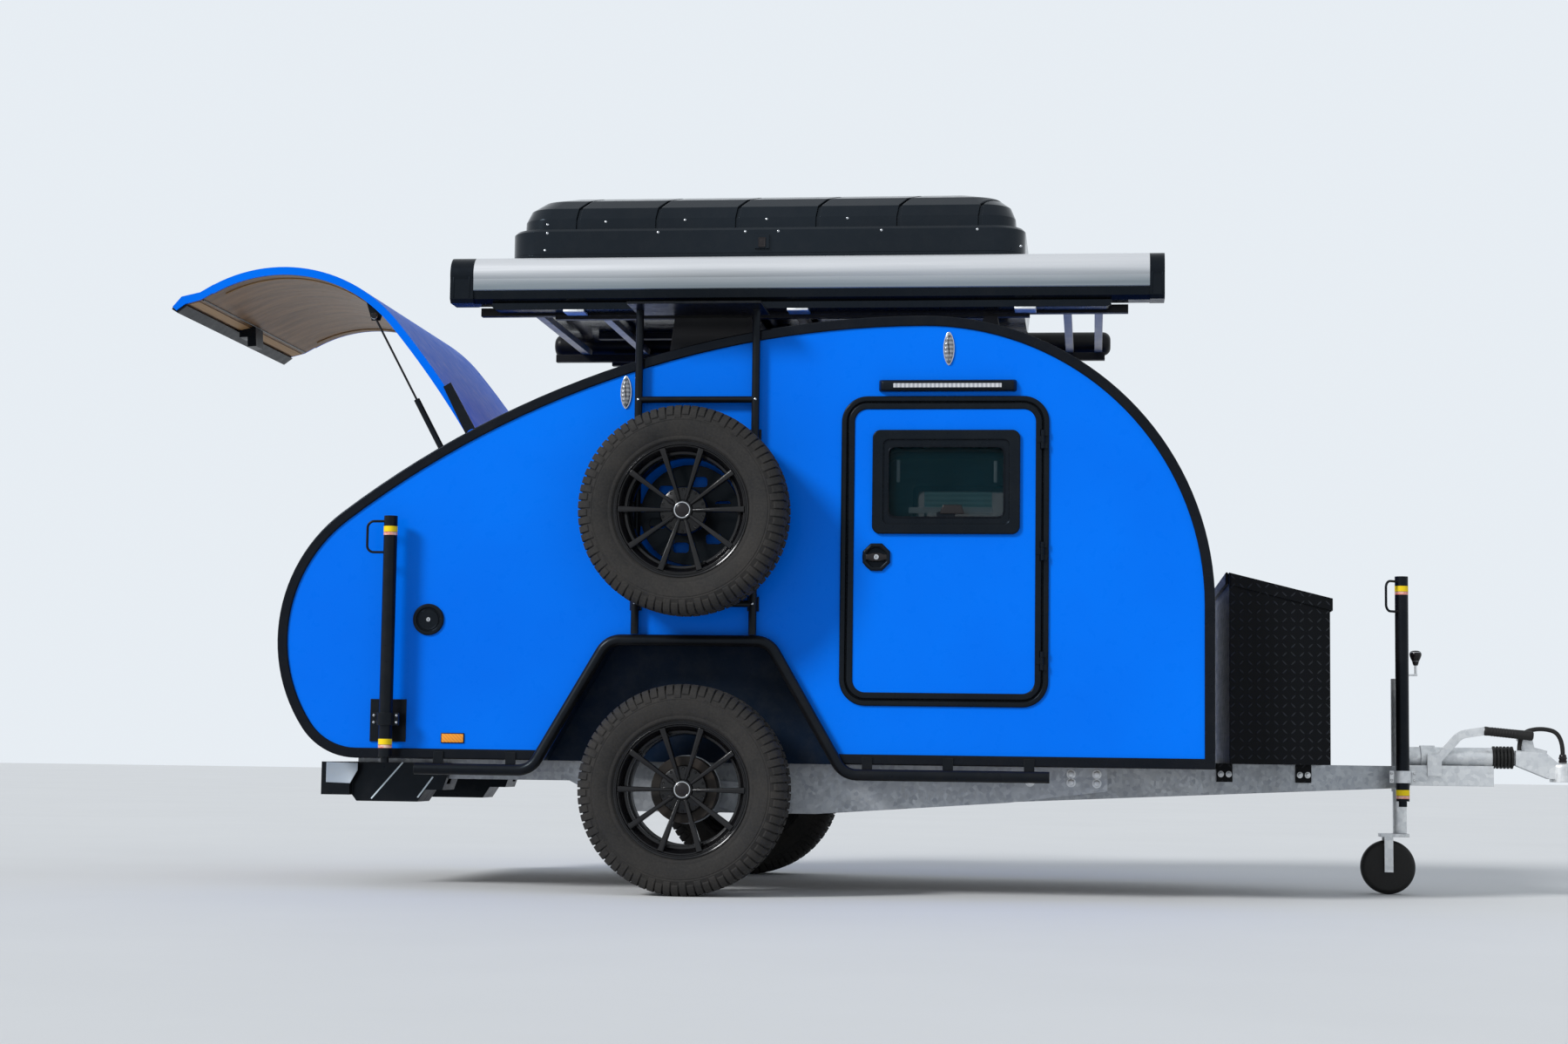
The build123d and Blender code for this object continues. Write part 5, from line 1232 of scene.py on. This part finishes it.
# ---- awning: ribs on the end caps, and the bracket plates under the case
awning = {"front": -700, "low": 2101, "high": 2272, "ribs": (-909, -851, 1600, 1636), "brackets": (-468, 345, 1155)}


def makeCapRibs(spec, name, x):
    rib = addBox(name, at(x - 2.5, spec["front"] - 1.8, spec["low"] + 18),
                 at(x + 2.5, spec["front"] + 8, spec["high"] - 64))
    soften(rib, 0.0016, 2)
    return rib


capRibs = [makeCapRibs(awning, "capRib", x) for x in awning["ribs"]]
settle(merge("awningCapRibs", capRibs), "frameBlack", "trailer")
plates = []
for x in awning["brackets"]:
    plate = addBox("bracketPlate", at(x - 38, -690, 2066), at(x + 38, -606, 2075.6))
    stepFace(plate, downward, (0.007, -0.0025))
    soften(plate, 0.0015, 2)
    plates.append(plate)
settle(merge("awningBrackets", plates), "zincBright", "trailer")
print("awning details made")


# ---- bolts of the drawbar: hex heads on the beams' outer webs
drawbarBolts = {"radius": 0.0115, "height": 0.008, "web": -575,
                "places": [(1178, 402), (1178, 432), (1322, 402), (1322, 432), (1412, 400), (1412, 432)]}


def makeHexHead(name, centre, outward, radius, height):
    head = addRod(name, centre, Vector(centre) + Vector(outward) * height, radius, 6)
    soften(head, radius * 0.12, 2)
    washer = addRod("washer", centre, Vector(centre) + Vector(outward) * height * 0.25, radius * 1.45, 24)
    soften(washer, radius * 0.05, 1)
    return merge(name, [head, washer])


heads = [makeHexHead("beamBolt", at(x, drawbarBolts["web"], z), rightward, drawbarBolts["radius"],
                     drawbarBolts["height"]) for x, z in drawbarBolts["places"]]
settleBoth(merge("beamBoltsRight", heads), "zincBright")
print("beam bolts made")


# ---- toolbox brackets: bolt heads on the sheets that hang over the drawbar's outer webs
boxBolts = {"places": [1859, 2146], "rear": (1100, -520), "front": (2500, -62), "face": 31.3, "apart": 15, "z": 438,
            "head": (0.008, 0.006)}


def makeBoxBolts(spec):
    rear, front = Vector(spec["rear"]), Vector(spec["front"])
    along = (front - rear).normalized()
    outward = Vector((along.y, -along.x))
    bolts = []
    for place in spec["places"]:
        middle = rear + (front - rear) * (place - rear.x) / (front.x - rear.x)
        for side in (-1, 1):
            spot = middle + outward * spec["face"] + along * side * spec["apart"]
            bolts.append(makeHexHead("boxBolt", at(spot.x, spot.y, spec["z"]), (*outward, 0), *spec["head"]))
    return merge("boxBoltsRight", bolts)


settleBoth(makeBoxBolts(boxBolts), "zincBright")
print("bracket bolts made")


# ---- light bar: a pale plate on each end, and on each box under the body two pale strips, painted highlights along its folded edges
lightEnds = {
    "plate": [(-1349, 366), (-1260, 363), (-1233, 411), (-1233, 437), (-1349, 438)],
    "plateY": -640,
    "strips": [((-1190, 309), (-1076, 441)), ((-1019, 315), (-964, 390))],
    "stripHalf": 2.8,
    "highlightStripY": -605,
}


def makeLightEnds(spec):
    plate = plateFrom("lightBarPlateRight", [at(x, spec["plateY"], z) for x, z in spec["plate"]], (0, -0.0022, 0))
    stepFace(plate, rightward, (0.004, -0.0012))
    soften(plate, 0.0005, 1)
    strips = []
    # pale strips where the box's folds catch the light: painted highlights
    for (lowX, lowZ), (highX, highZ) in spec["strips"]:
        run = Vector((highX - lowX, highZ - lowZ)).normalized() * spec["stripHalf"]
        corners = [(lowX - run.y, lowZ + run.x), (lowX + run.y, lowZ - run.x),
                   (highX + run.y, highZ - run.x), (highX - run.y, highZ + run.x)]
        strip = plateFrom("foldHighlightStrip", [at(x, spec["highlightStripY"], z) for x, z in corners], (0, -0.0016, 0))
        soften(strip, 0.0005, 1)
        strips.append(strip)
    return plate, merge("lightBoxStripsRight", strips)


for piece, finishName in zip(makeLightEnds(lightEnds), ("barPale", "stayPale")):
    settleBoth(piece, finishName)
print("light bar ends made")


# ---- toolbox: two paddle latches on the lid's front skirt
toolLatch = {"places": [-300, 300], "half": 32, "front": 2231, "low": 972, "high": 1048}
for number, y in enumerate(toolLatch["places"]):
    keeper = addBox(f"boxLatch{number}", at(toolLatch["front"] - 1, y - toolLatch["half"], toolLatch["low"]),
                    at(toolLatch["front"] + 5, y + toolLatch["half"], toolLatch["high"]))
    stepFace(keeper, forward, (0.008, -0.003), (0.006, 0.0045))
    soften(keeper, 0.0015, 2)
    settle(keeper, "steelBright", "toolbox_cover")
print("toolbox latches made")


# ---- jockey crank knob, pear shaped, and the ribbed grip of the handbrake lever
knob = {
    "axis": at(2597, 150, 850.5),
    "section": [(0, 0), (8, 0), (10.5, 6), (13, 16), (18.5, 27), (22, 37), (22.6, 44), (19, 51.5), (11, 55.5),
                (0, 56.5)],
}
grip = {
    "start": at(2816, -53.6, 607),
    "end": at(2991, -53.6, 590.5),
    # how far along from the start, in millimetres, and radius
    "section": [(0, 15.2), (2, 16.6), (12, 16.6), (15, 15.8), (60, 16.0), (110, 16.4), (158, 17.6), (168, 18.2),
                (174, 16.5), (176, 12), (176, 0), (0, 0)],
    "ridge": [(26, 15), (26.8, 16.8), (29.6, 16.8), (30.4, 15)],
    "ridges": 9,
    "ridgeStep": 0.0105,
}


def makeGrip(spec):
    run = (spec["end"] - spec["start"]).normalized()
    out = run.cross(Vector((0, 1, 0))).normalized()

    def place(along, radius):
        return spec["start"] + run * along / 1000 + out * radius / 1000

    sleeve = drawLine("leverGrip", [place(a, r) for a, r in spec["section"]], closed=True)
    ridge = drawLine("gripRidge", [place(a, r) for a, r in spec["ridge"]], closed=True)
    for piece in (sleeve, ridge):
        spinRound(piece, spec["start"], run, 40)
    ridges = [twin(ridge, "gripRidge", run * spec["ridgeStep"] * number) for number in range(1, spec["ridges"])]
    return merge("leverGrip", [sleeve, ridge] + ridges)


settle(uprightPiece("crankKnob", knob["axis"], knob["section"]), "capBlack", "trailer", 50)
settle(makeGrip(grip), "plainRubber", "trailer", 40)
print("crank knob and lever grip made")


# ---- ladder: domed bolt heads where the tubes meet
ladderBolts = {
    "places": [(-203, 1730), (214, 1730), (-203, 1010), (214, 1010)],
    "face": -819.5,
    "section": [(0, -1), (0, 2.4), (3.4, 1.8), (5.2, 0), (5.2, -1)],
}
heads = [spunPiece({"centre": at(x, ladderBolts["face"], z)}, "ladderBolt", ladderBolts["section"], 14)
         for x, z in ladderBolts["places"]]
settle(merge("ladderBolts", heads), "chrome", "trailer", 50)
print("ladder bolts made")


# ---- cable from the coupling's body to its plug on the ball cup, on the route that the solid follows
cable = {
    "route": [(2945.3, 537.3), (2945.3, 600), (3022.65, 622), (3100, 600), (3100, 525.3)],
    "plane": -24,
    "radius": 0.008,
    "plugSection": [(0, 0), (14, 0), (15, 2), (15, 8), (13.4, 9.5), (13.4, 13), (15, 14.5), (15, 19), (13.4, 20.5),
                    (13.4, 23), (12, 29), (9.5, 31.5), (0, 31.5)],
    "plugBase": at(3100, -24, 494.5),
    "length": 0.269,
}


def makeCable(spec):
    clearPick()
    points = [at(x, spec["plane"], z) for x, z in spec["route"]]
    curve = bpy.data.curves.new("couplingCable", "CURVE")
    curve.dimensions = "3D"
    spline = curve.splines.new("NURBS")
    spline.points.add(len(points) - 1)
    for point, place in zip(spline.points, points):
        point.co = (*place, 1)
    spline.order_u = 3
    spline.use_endpoint_u = True
    spline.resolution_u = 10
    curve.bevel_depth = spec["radius"]
    curve.bevel_resolution = 6
    curve.use_fill_caps = True
    lead = bpy.data.objects.new("couplingCable", curve)
    bpy.context.collection.objects.link(lead)
    return lead, uprightPiece("cablePlug", spec["plugBase"], spec["plugSection"])


couplingCable, cablePlug = makeCable(cable)
dress(couplingCable, "plainRubber")
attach(couplingCable, "trailer")
settle(cablePlug, "capBlack", "trailer", 40)
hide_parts("coupling_cable")
print("cable made")


# ---- mattress: a pad blown up a little by a cloth simulation, with piping round its two edges
mattress = {
    "low": (-388, -618, 491),
    "high": (1768, 618, 583),
    "corner": 0.028,
    "voxel": 0.022,
    "pressure": 4.0,
    "cap": 0.010,
    "pipe": 0.0045,
    "pipeHeights": (503, 575),
}


def makeMattress(spec):
    pad = addBox("mattressPad", at(*spec["low"]), at(*spec["high"]))
    soften(pad, spec["corner"], 3)
    only(pad)
    mod = pad.modifiers.new("even", "REMESH")
    mod.mode = "VOXEL"
    mod.voxel_size = spec["voxel"]
    bpy.ops.object.modifier_apply(modifier=mod.name)
    before = [v.co.copy() for v in pad.data.vertices]
    puff = pad.modifiers.new("puff", "CLOTH")
    puff.settings.use_pressure = True
    puff.settings.uniform_pressure_force = spec["pressure"]
    puff.settings.effector_weights.gravity = 0
    puff.point_cache.frame_start = 1
    puff.point_cache.frame_end = 20
    for number in range(1, 21):
        bpy.context.scene.frame_set(number)
    only(pad)
    bpy.ops.object.modifier_apply(modifier=puff.name)
    bpy.context.scene.frame_set(1)
    lowest = at(0, 0, spec["low"][2]).z
    for vertex, start in zip(pad.data.vertices, before):
        step = vertex.co - start
        if step.length > spec["cap"]:
            vertex.co = start + step * (spec["cap"] / step.length)
        vertex.co.z = max(vertex.co.z, lowest)
    return pad


def makePipe(spec, z):  # piping as a thin tube along the pad's rounded edge
    clearPick()
    low, high = Vector(spec["low"]), Vector(spec["high"])
    middle = (low + high) / 2
    bpy.ops.mesh.primitive_plane_add(size=1, location=at(middle.x, middle.y, z))
    pipe = bpy.context.object
    pipe.name = "mattressPiping"
    pipe.scale = ((high.x - low.x - 8) / 1000, (high.y - low.y - 8) / 1000, 1)
    applyPlace()
    edit(pipe, "VERT")
    bpy.ops.mesh.bevel(offset=spec["corner"], segments=6, affect="VERTICES")
    bpy.ops.mesh.delete(type="ONLY_FACE")
    leaveEdit()
    return thicken(pipe, spec["pipe"])


pad = makeMattress(mattress)
settle(pad, "mattressCloth", "trailer", 60)
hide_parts("mattress")
piping = merge("mattressPiping", [makePipe(mattress, z) for z in mattress["pipeHeights"]])
settle(piping, "pipingCloth", "trailer", 60)
print("mattress made")


# ---- studio: pale floor, soft light
studio = {
    "floorSize": 120.0,
    "floorColour": (0.72, 0.73, 0.74),
    "skyColour": (0.80, 0.85, 0.90),
    "fillStrength": 0.62,
    "sunStrength": 2.3,
    "sunWay": (0.60, 0.60, -0.53),
    "sunSpread": 14,
}


def makeStudio(spec):
    clearPick()
    bpy.ops.mesh.primitive_plane_add(size=spec["floorSize"], location=(-1.5, 0, groundZ))
    floor = bpy.context.object
    floor.name = "studioFloor"
    fin = Finish("floorPaint")
    tone = fin.blend(fin.remap(fin.noise(0.8, 5, 0.6), 0.3, 0.7), spec["floorColour"],
                     tuple(c * 0.97 for c in spec["floorColour"]))
    fin.colour(tone)
    fin.set(rough=0.8, specular=0.2)
    floor.data.materials.append(fin.material)
    applyPlace()
    world = bpy.data.worlds.new("studioWorld")
    bpy.context.scene.world = world
    world.use_nodes = True
    tree = world.node_tree
    back = tree.nodes["Background"]
    path = tree.nodes.new("ShaderNodeLightPath")
    seen = path.outputs["Is Camera Ray"]
    for ray in ("Is Glossy Ray", "Is Transmission Ray"):  # the pale backdrop shows in gloss and glass too
        either = tree.nodes.new("ShaderNodeMath")
        either.operation = "MAXIMUM"
        tree.links.new(seen, either.inputs[0])
        tree.links.new(path.outputs[ray], either.inputs[1])
        seen = either.outputs[0]
    level = tree.nodes.new("ShaderNodeMapRange")
    level.inputs["To Min"].default_value = spec["fillStrength"]
    level.inputs["To Max"].default_value = 1.0
    tree.links.new(seen, level.inputs["Value"])
    back.inputs["Color"].default_value = (*spec["skyColour"], 1)
    tree.links.new(level.outputs["Result"], back.inputs["Strength"])
    bpy.ops.object.light_add(type="SUN", location=(0, 0, 8))
    sun = bpy.context.object
    sun.name = "softSun"
    sun.data.energy = spec["sunStrength"]
    sun.data.angle = math.radians(spec["sunSpread"])
    sun.rotation_euler = Vector(spec["sunWay"]).to_track_quat("-Z", "Y").to_euler()


makeStudio(studio)
print("studio ready")
